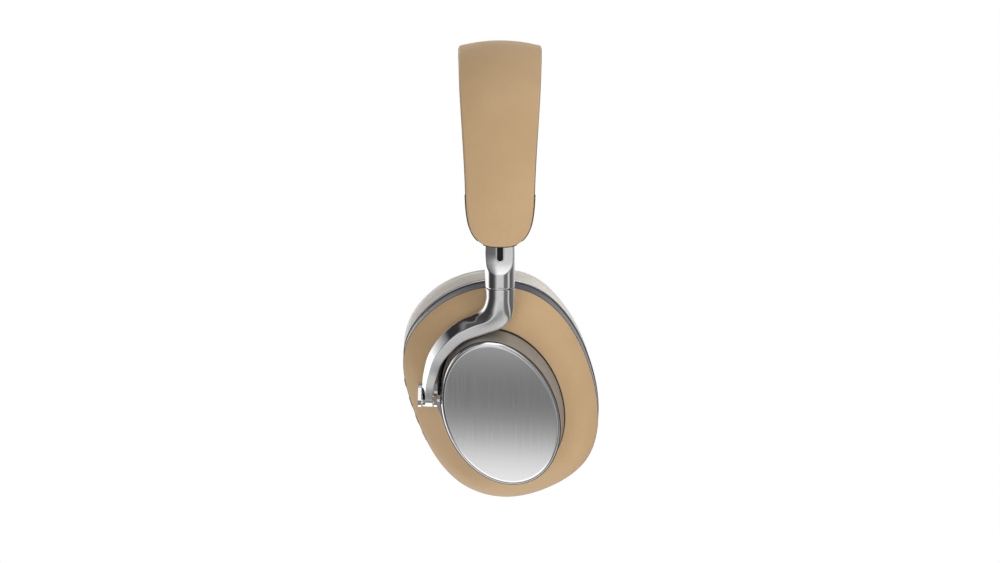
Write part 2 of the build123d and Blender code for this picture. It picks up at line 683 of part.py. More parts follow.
with BuildPart() as microphones:
    for share in microphone_shares:
        with BuildSketch(wall_place(share).offset(-chassis_wall - microphone_seat)):
            Circle(microphone_radius)
        extrude(amount=microphone_depth)
save_pair(microphones.part, "microphones")

# ---------------------------------------------------------------- inside of the cup
screw_edge = cup_face(baffle_near, baffle_screw_margin).edges()[0]
screw_places = [Plane(origin=screw_edge.position_at(share), x_dir=arm_x, z_dir=cup_plane.z_dir)
                for share in baffle_screw_shares]
driver_plane = Plane(origin=cup_plane.from_local_coords(Vector(*ear_centre, 0)), x_dir=arm_x,
                     z_dir=cup_plane.z_dir)

with BuildPart() as baffle_plate:
    extrude(cup_face(baffle_near, ring_margin - chassis_wall - layer_gap), amount=baffle_far - baffle_near)
    with BuildSketch(driver_plane.offset(baffle_near)):
        Circle(driver_hole)
    extrude(amount=baffle_far - baffle_near, mode=Mode.SUBTRACT)
    for place in screw_places:
        with BuildSketch(place):
            Circle(screw_radius)
        extrude(amount=baffle_far - baffle_near, mode=Mode.SUBTRACT)
save_pair(baffle_plate.part, "baffle_plate")

with BuildPart() as baffle_screws:
    for place in screw_places:
        with BuildSketch(place.offset(layer_gap)):
            Circle(screw_head_radius)
        extrude(amount=screw_head)
        with BuildSketch(place.offset(-screw_length)):
            Circle(screw_radius)
        extrude(amount=screw_length + layer_gap)
save_pair(baffle_screws.part, "baffle_screws")


def turned_part(profile):
    """Turns a closed profile, given as radius and height, around the driver's axis."""
    with BuildPart() as turned:
        with BuildSketch(Plane(origin=driver_plane.origin, x_dir=arm_x, z_dir=arm_x.cross(driver_plane.z_dir))):
            with BuildLine():
                Polyline(*profile, close=True)
            make_face()
        revolve(axis=Axis(driver_plane.origin, driver_plane.z_dir))
    return turned.part


save_pair(turned_part(frame_profile), "driver_frame")
save_pair(turned_part(magnet_profile), "driver_magnet")
save_pair(turned_part(cone_profile), "driver_cone")

with BuildPart() as circuit_board:
    extrude(oval_face(board_low, board_margin), amount=board_thickness)
    for middle, size in chips:
        with BuildSketch(cup_plane.offset(board_low + board_thickness)):
            with Locations(middle):
                Rectangle(*size)
        extrude(amount=chip_height)
save_pair(circuit_board.part, "circuit_board")

with BuildPart() as battery_pack:
    with BuildSketch(cup_plane.offset(board_low - battery_thickness - loose_gap)):
        with Locations(rim_centre):
            RectangleRounded(*battery_size, battery_corner)
    extrude(amount=battery_thickness)
with BuildPart() as battery:
    mirror(battery_pack.part, about=Plane.XZ)
save(battery.part, "battery")

# ---------------------------------------------------------------- cushion
carrier_near = chassis_far - layer_gap
carrier_thickness = carrier_near - carrier_far
with BuildPart() as cushion_ring:
    extrude(cup_face(carrier_near, carrier_margin), amount=-carrier_thickness)
    extrude(ear_face(carrier_near, ring_opening), amount=-carrier_thickness, mode=Mode.SUBTRACT)
save_pair(cushion_ring.part, "cushion_ring")

cushion_near = carrier_far - layer_gap
with BuildPart() as ear_cushion:
    loft([cup_face(cushion_near, cushion_root, shift=(cushion_shift[0] / 2, cushion_shift[1] / 2)),
          *[cup_face(w, margin, shift=cushion_shift) for w, margin in cushion_layers]])
    extrude(ear_face(cushion_near + spare), amount=cushion_far - cushion_near - 2 * spare, mode=Mode.SUBTRACT)
save_pair(ear_cushion.part, "ear_cushion")

with BuildPart() as driver_scrim:
    extrude(ear_face(carrier_near, scrim_opening), amount=-scrim_thickness)
save_pair(driver_scrim.part, "driver_scrim")
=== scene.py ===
import json
import math

import bmesh
import bpy
import numpy as np
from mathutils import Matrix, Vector


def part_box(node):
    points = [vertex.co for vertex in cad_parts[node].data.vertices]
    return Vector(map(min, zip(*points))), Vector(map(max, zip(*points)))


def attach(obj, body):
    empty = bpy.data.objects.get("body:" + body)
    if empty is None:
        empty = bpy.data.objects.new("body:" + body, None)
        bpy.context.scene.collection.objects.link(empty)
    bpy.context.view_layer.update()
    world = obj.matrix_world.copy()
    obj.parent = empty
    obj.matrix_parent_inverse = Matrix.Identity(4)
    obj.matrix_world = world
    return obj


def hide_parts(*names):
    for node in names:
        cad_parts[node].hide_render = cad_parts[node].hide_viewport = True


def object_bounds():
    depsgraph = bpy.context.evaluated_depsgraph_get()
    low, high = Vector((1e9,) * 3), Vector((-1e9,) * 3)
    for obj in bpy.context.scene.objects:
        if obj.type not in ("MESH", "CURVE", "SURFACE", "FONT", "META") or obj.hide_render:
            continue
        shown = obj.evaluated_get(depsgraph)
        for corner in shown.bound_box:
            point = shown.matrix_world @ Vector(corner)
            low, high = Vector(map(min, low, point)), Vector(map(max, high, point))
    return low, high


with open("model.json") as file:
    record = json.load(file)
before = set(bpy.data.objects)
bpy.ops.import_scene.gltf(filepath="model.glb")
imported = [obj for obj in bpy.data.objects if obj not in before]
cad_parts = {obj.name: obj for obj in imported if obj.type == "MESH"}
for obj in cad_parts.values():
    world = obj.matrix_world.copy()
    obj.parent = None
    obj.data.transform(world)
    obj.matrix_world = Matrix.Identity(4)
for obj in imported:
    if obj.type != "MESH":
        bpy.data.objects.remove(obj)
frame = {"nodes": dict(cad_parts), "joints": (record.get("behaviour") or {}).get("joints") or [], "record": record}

# Over ear headphones: the looks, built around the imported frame. Lengths are in metres, in the frame's axes.
# Shapes are drawn for the right side (-Y), in millimetres, and mirrored for the left.
cad_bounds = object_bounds()
MM = 0.001

# ---------------- places, read from the frame
joints = {joint["name"]: joint for joint in frame["joints"]}
mounts = {mount["name"]: mount for mount in frame["record"]["mounts"]}
collar = np.array(joints["yoke_right_swivel"]["pos_m"]) / MM
up = np.array(joints["yoke_right_swivel"]["axis"])
cup_origin = np.array(joints["cup_right_tilt"]["pos_m"]) / MM
fore = -np.array(joints["cup_right_tilt"]["axis"])  # along the cup's hinge, to the wearer's front
cup_out = -np.array(mounts["ear_contact_right"]["axis"])  # out of the plate
cup_up = np.cross(cup_out, fore)
arm_out = np.cross(fore, up)
slider_fore = np.array([1.0, 0.0, 0.0])
slider_out = np.cross(slider_fore, up)
collar_radius = 6.45
# the end plate's oval, in the cup's frame
oval_centre, oval_half, oval_slant = np.array([0.3, -4.3]), np.array([24.6, 34.0]), math.radians(19.8)


def from_frame(origin, axes, places):
    """World points, in mm, of places measured along three axes from an origin."""
    u, v, w = np.broadcast_arrays(*[np.asarray(place, float) for place in places])
    return origin + u[..., None] * axes[0] + v[..., None] * axes[1] + w[..., None] * axes[2]


def from_cup(u, v, w):
    """Points of the right cup: forward, up along its plate, and out of it."""
    return from_frame(cup_origin, (fore, cup_up, cup_out), (u, v, w))


def from_arm(u, v, w):
    """Points of the right yoke arm: forward, up and out from the collar."""
    return from_frame(collar, (fore, up, arm_out), (u, v, w))


def from_slider(u, v, w):
    """Points of the right slider: forward, up and out from the collar."""
    return from_frame(collar, (slider_fore, up, slider_out), (u, v, w))


# ---------------- camera
camera_distance = 1400.0
camera_elevation = math.radians(1.0)
camera_target = np.array([0.0, 0.0, -94.2])
view_dir = np.array([0.0, math.cos(camera_elevation), -math.sin(camera_elevation)])
camera_data = bpy.data.cameras.new("camera")
camera_data.sensor_width = 36.0
camera_data.lens = 110.5
camera = bpy.data.objects.new("camera", camera_data)
camera.location = (camera_target - camera_distance * view_dir) * MM
camera.rotation_euler = (math.pi / 2 - camera_elevation, 0, 0)
bpy.context.scene.collection.objects.link(camera)
bpy.context.scene.camera = camera

# ---------------- node helpers


def new_material(name):
    material = bpy.data.materials.new(name)
    material.use_nodes = True
    tree = material.node_tree
    return material, tree, tree.nodes["Principled BSDF"]


def add_node(tree, kind, **settings):
    node = tree.nodes.new(kind)
    for key, value in settings.items():
        if key in node.inputs:
            node.inputs[key].default_value = value
        else:
            setattr(node, key, value)
    return node


def place_coords(tree, scale=(1, 1, 1), rotation=(0, 0, 0)):
    coords = add_node(tree, "ShaderNodeTexCoord")
    mapping = add_node(tree, "ShaderNodeMapping")
    mapping.inputs["Scale"].default_value = scale
    mapping.inputs["Rotation"].default_value = rotation
    tree.links.new(coords.outputs["Object"], mapping.inputs["Vector"])
    return mapping.outputs["Vector"]


def noise(tree, coords, scale, detail=3.0, rough=0.5):
    node = add_node(tree, "ShaderNodeTexNoise", Scale=scale, Detail=detail, Roughness=rough)
    tree.links.new(coords, node.inputs["Vector"])
    return node.outputs["Fac"]


def spread(tree, value, low, high):
    """Maps a 0 to 1 value onto low to high."""
    node = add_node(tree, "ShaderNodeMapRange")
    node.inputs["To Min"].default_value = low
    node.inputs["To Max"].default_value = high
    tree.links.new(value, node.inputs["Value"])
    return node.outputs["Result"]


def two_tones(tree, value, dark, light, low=0.35, high=0.65):
    ramp = add_node(tree, "ShaderNodeValToRGB")
    ramp.color_ramp.elements[0].position = low
    ramp.color_ramp.elements[1].position = high
    ramp.color_ramp.elements[0].color = (*dark, 1)
    ramp.color_ramp.elements[1].color = (*light, 1)
    tree.links.new(value, ramp.inputs["Fac"])
    return ramp.outputs["Color"]


def bump(tree, shader, height, depth, strength=1.0):
    node = add_node(tree, "ShaderNodeBump", Strength=strength, Distance=depth)
    previous = shader.inputs["Normal"].links
    tree.links.new(height, node.inputs["Height"])
    if previous:
        tree.links.new(previous[0].from_socket, node.inputs["Normal"])
    tree.links.new(node.outputs["Normal"], shader.inputs["Normal"])


def leather(name, dark, light, roughness, grain=0.5, depth=0.00005):
    """Fine-grained leather: grain cells, pores, and soft patches of tone and gloss."""
    material, tree, shader = new_material(name)
    coords = place_coords(tree)
    patches = noise(tree, coords, 55, 4)
    tree.links.new(two_tones(tree, patches, dark, light), shader.inputs["Base Color"])
    cells = add_node(tree, "ShaderNodeTexVoronoi", Scale=1000 / grain, feature="F1")
    tree.links.new(coords, cells.inputs["Vector"])
    bump(tree, shader, cells.outputs["Distance"], depth)
    bump(tree, shader, noise(tree, coords, 420, 5, 0.6), depth * 1.6)
    gloss = noise(tree, coords, 900, 2)
    tree.links.new(spread(tree, gloss, roughness - 0.06, roughness + 0.08), shader.inputs["Roughness"])
    shader.inputs["Sheen Weight"].default_value = 0.08
    shader.inputs["Sheen Roughness"].default_value = 0.4
    shader.inputs["Specular IOR Level"].default_value = 0.4
    return material


def plain(name, dark, light, roughness, metallic=0.0, scale=300, depth=0.00001, uneven=0.05):
    """Moulded or cast surface: fine texture in its colour, gloss and relief."""
    material, tree, shader = new_material(name)
    coords = place_coords(tree)
    grain = noise(tree, coords, scale, 4, 0.6)
    tree.links.new(two_tones(tree, grain, dark, light, 0.3, 0.7), shader.inputs["Base Color"])
    gloss = spread(tree, noise(tree, coords, scale * 2.3, 2), roughness - uneven, roughness + uneven)
    tree.links.new(gloss, shader.inputs["Roughness"])
    bump(tree, shader, grain, depth)
    shader.inputs["Metallic"].default_value = metallic
    return material


# dark tone, light tone, roughness, then metal, texture scale, relief and unevenness
surfaces = {
    "piping": ((0.05, 0.035, 0.025), (0.08, 0.06, 0.045), 0.55),
    "spring_steel": ((0.5, 0.5, 0.52), (0.58, 0.58, 0.6), 0.3, 1.0),
    "dark_plastic": ((0.03, 0.03, 0.032), (0.045, 0.045, 0.047), 0.45),
    "black_cable": ((0.002, 0.002, 0.002), (0.004, 0.004, 0.004), 0.55),
    "polished_aluminium": ((0.84, 0.84, 0.85), (0.89, 0.89, 0.9), 0.09, 1.0, 900, 0.000001, 0.02),
    "pin_steel": ((0.6, 0.6, 0.61), (0.68, 0.68, 0.69), 0.2, 1.0),
    "black_polymer": ((0.01, 0.01, 0.01), (0.02, 0.02, 0.02), 0.4),
    "drum_aluminium": ((0.31, 0.285, 0.25), (0.35, 0.325, 0.29), 0.4, 0.3),
    "grey_ring": ((0.085, 0.09, 0.105), (0.11, 0.115, 0.13), 0.3),
    "magnet_steel": ((0.5, 0.5, 0.5), (0.55, 0.55, 0.55), 0.25, 1.0),
    "cone": ((0.03, 0.03, 0.035), (0.06, 0.06, 0.065), 0.4),
    "circuit_board": ((0.01, 0.09, 0.04), (0.02, 0.13, 0.06), 0.35),
    "scrim_cloth": ((0.012, 0.012, 0.013), (0.035, 0.035, 0.037), 0.8, 0.0, 1500, 0.00005),
    "led_lens": ((0.8, 0.82, 0.85), (0.9, 0.92, 0.95), 0.15),
    "button_metal": ((0.3, 0.3, 0.31), (0.36, 0.36, 0.37), 0.3, 1.0),
    "battery_foil": ((0.4, 0.4, 0.42), (0.5, 0.5, 0.52), 0.3, 1.0),
}
materials = {name: plain(name, *look) for name, look in surfaces.items()}
materials["tan_leather"] = leather("tan_leather", (0.54, 0.362, 0.196), (0.565, 0.386, 0.211), 0.55)
materials["stone_leather"] = leather("stone_leather", (0.725, 0.685, 0.625), (0.765, 0.725, 0.665), 0.5)


def dot_along(tree, vector, direction):
    """How far a point lies along a direction, in metres."""
    node = add_node(tree, "ShaderNodeVectorMath", operation="DOT_PRODUCT")
    node.inputs[1].default_value = tuple(float(x) for x in direction)
    tree.links.new(vector, node.inputs[0])
    return node.outputs["Value"]


def maths(tree, operation, a, b=None):
    node = add_node(tree, "ShaderNodeMath", operation=operation)
    for socket, value in zip(node.inputs, (a, b)):
        if isinstance(value, (int, float)):
            socket.default_value = value
        elif value is not None:
            tree.links.new(value, socket)
    return node.outputs["Value"]


def brushed(name, dark, light, roughness, hollow=0.0):
    """Metal brushed up and down the cup: fine long scratches, on both cups alike."""
    material, tree, shader = new_material(name)
    coords = add_node(tree, "ShaderNodeTexCoord").outputs["Object"]
    axes = add_node(tree, "ShaderNodeSeparateXYZ")
    tree.links.new(coords, axes.inputs["Vector"])
    side = maths(tree, "MULTIPLY", maths(tree, "ABSOLUTE", axes.outputs["Y"]), -1.0)
    right_side = add_node(tree, "ShaderNodeCombineXYZ")
    tree.links.new(axes.outputs["X"], right_side.inputs["X"])
    tree.links.new(side, right_side.inputs["Y"])
    tree.links.new(axes.outputs["Z"], right_side.inputs["Z"])
    middle = from_cup(*oval_centre, 4.5) * MM
    along, across = (
        maths(tree, "SUBTRACT", dot_along(tree, right_side.outputs["Vector"], axis), float(middle @ axis))
        for axis in (cup_up, fore))
    stretched = add_node(tree, "ShaderNodeCombineXYZ")
    tree.links.new(maths(tree, "MULTIPLY", across, 3200.0), stretched.inputs["X"])
    tree.links.new(maths(tree, "MULTIPLY", along, 45.0), stretched.inputs["Y"])
    scratches = noise(tree, stretched.outputs["Vector"], 1.0, 4, 0.7)
    tree.links.new(two_tones(tree, scratches, dark, light, 0.3, 0.7), shader.inputs["Base Color"])
    tree.links.new(spread(tree, scratches, roughness - 0.06, roughness + 0.08), shader.inputs["Roughness"])
    bump(tree, shader, scratches, 0.000002)
    if hollow:
        height = maths(tree, "MULTIPLY", maths(tree, "MULTIPLY", along, along), -hollow)
        bump(tree, shader, height, 1.0)
    shader.inputs["Metallic"].default_value = 1.0
    return material


materials["brushed_plate"] = brushed("brushed_plate", (0.8, 0.8, 0.81), (0.86, 0.86, 0.87), 0.16, 1.3)
slots = {part["node"]: part["material_slot"] for part in frame["record"]["subparts"]}
for node_name, node in frame["nodes"].items():
    node.data.materials.clear()
    node.data.materials.append(materials[slots[node_name]])

# ---------------- mesh helpers


def cubic(t, start, end, start_slope, end_slope):
    """Cubic between two values, with a slope at each end."""
    return ((2 * t**3 - 3 * t**2 + 1) * start + (t**3 - 2 * t**2 + t) * start_slope
            + (3 * t**2 - 2 * t**3) * end + (t**3 - t**2) * end_slope)


def slope_terms(last, here, following, before, after):
    """Right-hand side of a spline's equation at a knot, with the steps before and after it."""
    return 3 * (after * (here - last) / before + before * (following - here) / after)


def periodic_curve(points, count):
    """Smooth closed curve through points (a periodic cubic spline), at even steps along it."""
    knots = np.array(points, float)
    steps = np.linalg.norm(np.roll(knots, -1, axis=0) - knots, axis=1)
    n = len(knots)
    system = np.zeros((n, n))
    right = np.zeros(knots.shape)
    for i in range(n):
        before, after = steps[i - 1], steps[i]
        system[i, i - 1], system[i, i], system[i, (i + 1) % n] = after, 2 * (before + after), before
        right[i] = slope_terms(knots[i - 1], knots[i], knots[(i + 1) % n], before, after)
    slopes = np.linalg.solve(system, right)
    curve = []
    for i in range(n):
        t = np.linspace(0, 1, 40, endpoint=False)[:, None]
        following = (i + 1) % n
        curve.append(cubic(t, knots[i], knots[following],
                           steps[i] * slopes[i], steps[i] * slopes[following]))
    curve = np.concatenate(curve)
    lengths = np.concatenate([[0], np.cumsum(np.linalg.norm(np.roll(curve, -1, axis=0) - curve, axis=1))])
    places = np.linspace(0, lengths[-1], count, endpoint=False)
    closed = np.vstack([curve, curve[:1]])
    return np.stack([np.interp(places, lengths, closed[:, k]) for k in (0, 1)], -1)


def smooth_rows(stations, places):
    """Cubic through rows of numbers, by their index, at fractional places."""
    rows = np.array(stations, float)
    slopes = np.gradient(rows, axis=0)
    low = np.clip(np.floor(places).astype(int), 0, len(rows) - 2)
    t = (places - low)[:, None]
    return cubic(t, rows[low], rows[low + 1], slopes[low], slopes[low + 1])


def grid_faces(rows, columns, closed_rows=False, closed_columns=True):
    faces = []
    for i in range(rows if closed_rows else rows - 1):
        for j in range(columns if closed_columns else columns - 1):
            a, b = i * columns + j, i * columns + (j + 1) % columns
            c, d = (i + 1) % rows * columns + (j + 1) % columns, (i + 1) % rows * columns + j
            faces.append((a, b, c, d))
    return faces


def capped_faces(rows, columns):
    """Faces of an open tube of rows, and a face over each of its ends."""
    last = (rows - 1) * columns
    return grid_faces(rows, columns) + [tuple(range(columns)), tuple(range(last, last + columns))]


def new_piece(name, points, faces, material):
    """Mesh object from points in mm, with a named material. Faces are turned outwards."""
    mesh = bpy.data.meshes.new(name)
    mesh.from_pydata((np.asarray(points).reshape(-1, 3) * MM).tolist(), [], faces)
    sculpt = bmesh.new()
    sculpt.from_mesh(mesh)
    bmesh.ops.remove_doubles(sculpt, verts=sculpt.verts, dist=1e-6)
    bmesh.ops.recalc_face_normals(sculpt, faces=sculpt.faces)
    sculpt.to_mesh(mesh)
    sculpt.free()
    mesh.materials.append(materials[material])
    mesh.polygons.foreach_set("use_smooth", [True] * len(mesh.polygons))
    piece = bpy.data.objects.new(name, mesh)
    bpy.context.scene.collection.objects.link(piece)
    return piece


def mirrored_copy(piece, name):
    """The same piece for the left side."""
    twin_mesh = piece.data.copy()
    sculpt = bmesh.new()
    sculpt.from_mesh(twin_mesh)
    for vertex in sculpt.verts:
        vertex.co.y = -vertex.co.y
    bmesh.ops.reverse_faces(sculpt, faces=sculpt.faces)
    sculpt.to_mesh(twin_mesh)
    sculpt.free()
    twin = bpy.data.objects.new(name, twin_mesh)
    bpy.context.scene.collection.objects.link(twin)
    return twin


def pair(piece, body, node=None):
    """Finishes a right-hand piece named NAME_right and makes its left-hand twin."""
    base = piece.name[:-len("_right")]
    for side, item in (("right", piece), ("left", mirrored_copy(piece, base + "_left"))):
        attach(item, f"{body}_{side}")
        if node:
            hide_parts(f"{node}_{side}")


def vertex_places(mesh):
    """Positions of the mesh's points, in metres."""
    places = np.empty(len(mesh.vertices) * 3)
    mesh.vertices.foreach_get("co", places)
    return places.reshape(-1, 3)


def inflate(piece, cap, held, pressure=4.0, steps=20, smoothing=3):
    """Blows a closed skin up with a cloth simulation, by at most cap mm, its held points fixed."""
    before = vertex_places(piece.data)
    group = piece.vertex_groups.new(name="held")
    group.add([int(i) for i in np.nonzero(held)[0]], 1.0, "REPLACE")
    cloth = piece.modifiers.new("cloth", "CLOTH")
    settings = cloth.settings
    settings.use_pressure = True
    settings.uniform_pressure_force = pressure
    settings.effector_weights.gravity = 0
    settings.vertex_group_mass = "held"
    settings.quality = 6
    settings.tension_stiffness = settings.compression_stiffness = 20
    settings.mass = 0.2
    cloth.collision_settings.use_collision = False
    cloth.point_cache.frame_start, cloth.point_cache.frame_end = 1, steps
    scene = bpy.context.scene
    for frame_number in range(1, steps + 1):
        scene.frame_set(frame_number)
    evaluated = piece.evaluated_get(bpy.context.evaluated_depsgraph_get())
    move = vertex_places(evaluated.data) - before
    piece.modifiers.remove(cloth)
    piece.vertex_groups.clear()
    scene.frame_set(1)
    far = np.linalg.norm(move, axis=1)
    move *= (cap * MM * np.tanh(far / (cap * MM)) / np.maximum(far, 1e-9))[:, None]
    piece.data.vertices.foreach_set("co", (before + move).ravel())
    sculpt = bmesh.new()
    sculpt.from_mesh(piece.data)
    sculpt.verts.ensure_lookup_table()
    loose = [sculpt.verts[int(i)] for i in np.nonzero(~held)[0]]
    for _ in range(smoothing):
        bmesh.ops.smooth_vert(sculpt, verts=loose, factor=0.5,
                              use_axis_x=True, use_axis_y=True, use_axis_z=True)
    sculpt.to_mesh(piece.data)
    sculpt.free()


def apply_modifiers(piece):
    """Replaces the piece's mesh with the plain mesh that its modifiers make."""
    evaluated = piece.evaluated_get(bpy.context.evaluated_depsgraph_get())
    mesh = bpy.data.meshes.new_from_object(evaluated)
    piece.modifiers.clear()
    piece.data = mesh


def subdivide(piece, levels=1):
    modifier = piece.modifiers.new("subdivision", "SUBSURF")
    modifier.levels = modifier.render_levels = levels
    apply_modifiers(piece)


def tube_loop(path, radius, sides=8, closed=True):
    """Points and faces of a thin tube along a path."""
    path = np.asarray(path, float)
    ahead = np.roll(path, -1, axis=0) if closed else np.vstack([path[1:], 2 * path[-1:] - path[-2:-1]])
    behind = np.roll(path, 1, axis=0) if closed else np.vstack([2 * path[:1] - path[1:2], path[:-1]])
    tangents = ahead - behind
    tangents /= np.linalg.norm(tangents, axis=1)[:, None]
    reference = np.array([0.3, 0.9, 0.31])
    first = np.cross(tangents, reference)
    first /= np.linalg.norm(first, axis=1)[:, None]
    second = np.cross(tangents, first)
    turns = np.linspace(0, 2 * math.pi, sides, endpoint=False)
    points = (path[:, None] + radius * (np.cos(turns)[None, :, None] * first[:, None]
                                        + np.sin(turns)[None, :, None] * second[:, None]))
    if closed:
        return points, grid_faces(len(path), sides, closed_rows=True)
    return points, capped_faces(len(path), sides)


# ---------------- cup outlines, in the cup's frame
outline_points, dome_points, plate_points = 120, 160, 200
rim_points = [(0, 46.0), (-17.6, 42.6), (-33.3, 31.8), (-42.0, 17.7), (-42.6, 4.0), (-38.7, -11.8),
              (-30.2, -32.2), (-16.9, -47.5), (-0.2, -53.1), (21.3, -48.2), (38.0, -34.4),
              (42.7, -15.7), (38.6, 9.6), (28.4, 30.4), (14.4, 42.7)]
rim_centre = np.array([0.0, -4.0])
cushion_shift = np.array([-0.8, 1.6])
ear_centre, ear_half = np.array([0.0, -3.0]), np.array([19.0, 29.0])
cushion_bulges = [(132, 16, 1.3), (92, 14, -0.8)]  # direction, half-spread and size
drum_base_shift, drum_base_growth, drum_base = np.array([0.8, 0.5]), 1.0, -8.9


def rim_outline(margin=0.0, shift=(0, 0), count=outline_points):
    arms = np.array(rim_points) - rim_centre
    reach = np.linalg.norm(arms, axis=1)[:, None]
    return periodic_curve(rim_centre + np.array(shift) + arms * (1 + margin / reach), count)


def cushion_outline(margin=0.0, shift=(0, 0)):
    """The rim's outline as the soft skin follows it: fuller at the rear top and slimmer at the top."""
    outline = rim_outline(margin, shift)
    arms = outline - rim_centre
    angle = np.degrees(np.arctan2(arms[:, 1], arms[:, 0]))
    fuller = sum(size * np.exp(-(((angle - place + 180) % 360 - 180) / width) ** 2)
                 for place, width, size in cushion_bulges)
    return outline + arms * (fuller / np.linalg.norm(arms, axis=1))[:, None]


def ear_oval(growth, like):
    """Ear opening, its points matched by direction to another outline."""
    angle = np.arctan2(like[:, 1] - ear_centre[1], like[:, 0] - ear_centre[0])
    half = ear_half + growth
    reach = 1 / np.sqrt((np.cos(angle) / half[0]) ** 2 + (np.sin(angle) / half[1]) ** 2)
    return ear_centre + reach[:, None] * np.stack([np.cos(angle), np.sin(angle)], -1)


def plate_oval(growth, count=outline_points, shift=(0, 0)):
    turn = np.linspace(0, 2 * math.pi, count, endpoint=False)
    half = oval_half + growth
    x, y = half[0] * np.cos(turn), half[1] * np.sin(turn)
    cos, sin = math.cos(oval_slant), math.sin(oval_slant)
    return oval_centre + np.array(shift) + np.stack([x * cos - y * sin, x * sin + y * cos], -1)


# ---------------- ear cushions
# side wall from the ring outwards: height, margin to the rim, share of the shift
cushion_wall = [(-28.5, -1.5, 0.5), (-29.3, -0.9, 0.65), (-31.0, -0.35, 0.85), (-34.0, 0.0, 1),
                (-37.5, 0.05, 1), (-41.0, -0.5, 1), (-43.8, -1.9, 1), (-45.8, -4.2, 1), (-46.9, -7.0, 1)]
face_steps = [(0.2, 0.75), (0.4, 1.05), (0.6, 1.0), (0.8, 0.55)]  # share of the way in, crown in mm
ear_wall = [(-46.6, -0.3), (-45.2, -1.0), (-42.5, -1.2), (-38.0, -0.9), (-33.0, -0.6),
            (-29.4, -0.2), (-28.6, 0.4)]


def cushion_mesh():
    rows = []
    for height, margin, share in cushion_wall:
        rows.append(from_cup(*cushion_outline(margin, cushion_shift * share).T, height))
    outer = cushion_outline(cushion_wall[-1][1], cushion_shift)
    inner = ear_oval(0.8, outer)
    for share, crown in face_steps:
        mixed = (1 - share) * outer + share * inner
        rows.append(from_cup(*mixed.T, cushion_wall[-1][0] - crown))
    for height, growth in ear_wall:
        rows.append(from_cup(*ear_oval(growth, outer).T, height))
    root, end = cushion_outline(cushion_wall[0][1], cushion_shift * 0.5), ear_oval(0.6, outer)
    for share in (0.25, 0.5, 0.75):  # back, against the ring
        rows.append(from_cup(*(share * root + (1 - share) * end).T, -28.5))
    return np.array(rows)


rows = cushion_mesh()
cushion = new_piece("ear_cushion_skin_right", rows, grid_faces(len(rows), rows.shape[1], closed_rows=True),
                    "stone_leather")
held = (vertex_places(cushion.data) / MM - cup_origin) @ cup_out > -29.0  # the side against the ring
inflate(cushion, 1.0, held)
subdivide(cushion)
pair(cushion, "cup", "ear_cushion")

# seams of the cushion: a welt where the face meets the side, and one inside the ear opening
welt = from_cup(*cushion_outline(-3.6, cushion_shift).T, -45.7)
seam = new_piece("cushion_welt_right", *tube_loop(welt, 0.55), "stone_leather")
pair(seam, "cup")
bead = from_cup(*rim_outline(0.05, cushion_shift * 0.15, count=300).T, -28.45)
trim = new_piece("cushion_bead_right", *tube_loop(bead, 0.42), "polished_aluminium")
pair(trim, "cup")

# black ring where the drum stands on the leather: painted shade, standing in for the shadow gap at the drum's
# foot; it is made wider at the rear, where the drum's wall lies in shade behind the arm
oval = plate_oval(drum_base_growth + 0.25, shift=drum_base_shift - [0.35, 0])
rear_shade_weight = np.clip((oval_centre[0] - oval[:, 0]) / oval_half[0], 0, 1) ** 2
oval[:, 0] -= 0.5 * rear_shade_weight
shadow_line_path = from_cup(*oval.T, drum_base + 0.15)
shadow_line = new_piece("drum_gasket_right", *tube_loop(shadow_line_path, (0.5 + 0.5 * rear_shade_weight)[:, None, None]),
                 "black_polymer")
pair(shadow_line, "cup")

# ---------------- yoke arms
# stations down the arm: outer edge, inner edge, back, front, bevel share, roundness
arm_rows = [
    (-6.45, -2.0, 6.45, -2.0, -6.45, 6.45, 0.5, 1.0),
    (-6.6, -4.8, 6.45, -5.4, -6.4, 6.45, 0.5, 1.0),
    (-7.6, -7.9, 6.25, -10.2, -5.0, 6.42, 0.5, 0.85),
    (-9.4, -10.0, 4.9, -13.9, -3.4, 6.3, 0.5, 0.5),
    (-12.2, -11.8, 0.9, -17.0, -2.2, 6.1, 0.48, 0.2),
    (-16.4, -13.6, -7.0, -19.8, -1.0, 5.8, 0.44, 0.05),
    (-22.0, -17.5, -15.3, -22.9, -1.0, 5.4, 0.44, 0.0),
    (-27.4, -23.0, -21.0, -27.8, -1.5, 4.9, 0.44, 0.0),
    (-31.3, -29.5, -25.1, -33.0, -2.0, 4.5, 0.42, 0.0),
    (-33.2, -36.5, -27.0, -38.2, -2.0, 4.0, 0.4, 0.0),
    (-34.0, -43.0, -28.6, -43.8, -2.0, 3.8, 0.36, 0.0),
    (-34.0, -48.6, -29.0, -48.8, -2.0, 3.3, 0.32, 0.0),
]
round_angles = np.radians([222, 172, 98, 35, -42, -138])
corner_radii = (0.4, 0.45, 0.16, 0.3, 0.5)
collar_lip = ((-0.15, 0.55), (-0.15, 0.25), (-0.22, 0.1), (-0.4, 0.0), (-1.0, 0.0))  # height and inset
tip_turns, tip_length = np.radians((12, 25, 38, 50, 62, 74, 84)), 3.1  # rounded tip round the hinge pin


def arc_points(start, middle, end, shares):
    """Points of the circle arc through three points."""
    a, b = middle - start, end - start
    cross = a[0] * b[1] - a[1] * b[0]
    if abs(cross) < 1e-3:
        return start + shares[:, None] * b
    offset = np.array([b[1] * (a @ a) - a[1] * (b @ b), a[0] * (b @ b) - b[0] * (a @ a)])
    centre = start + offset / (2 * cross)
    first, last = np.arctan2(*(start - centre)[::-1]), np.arctan2(*(end - centre)[::-1])
    turn = (last - first + math.pi) % (2 * math.pi) - math.pi
    angles = first + shares * turn
    return centre + np.linalg.norm(start - centre) * np.stack([np.cos(angles), np.sin(angles)], -1)


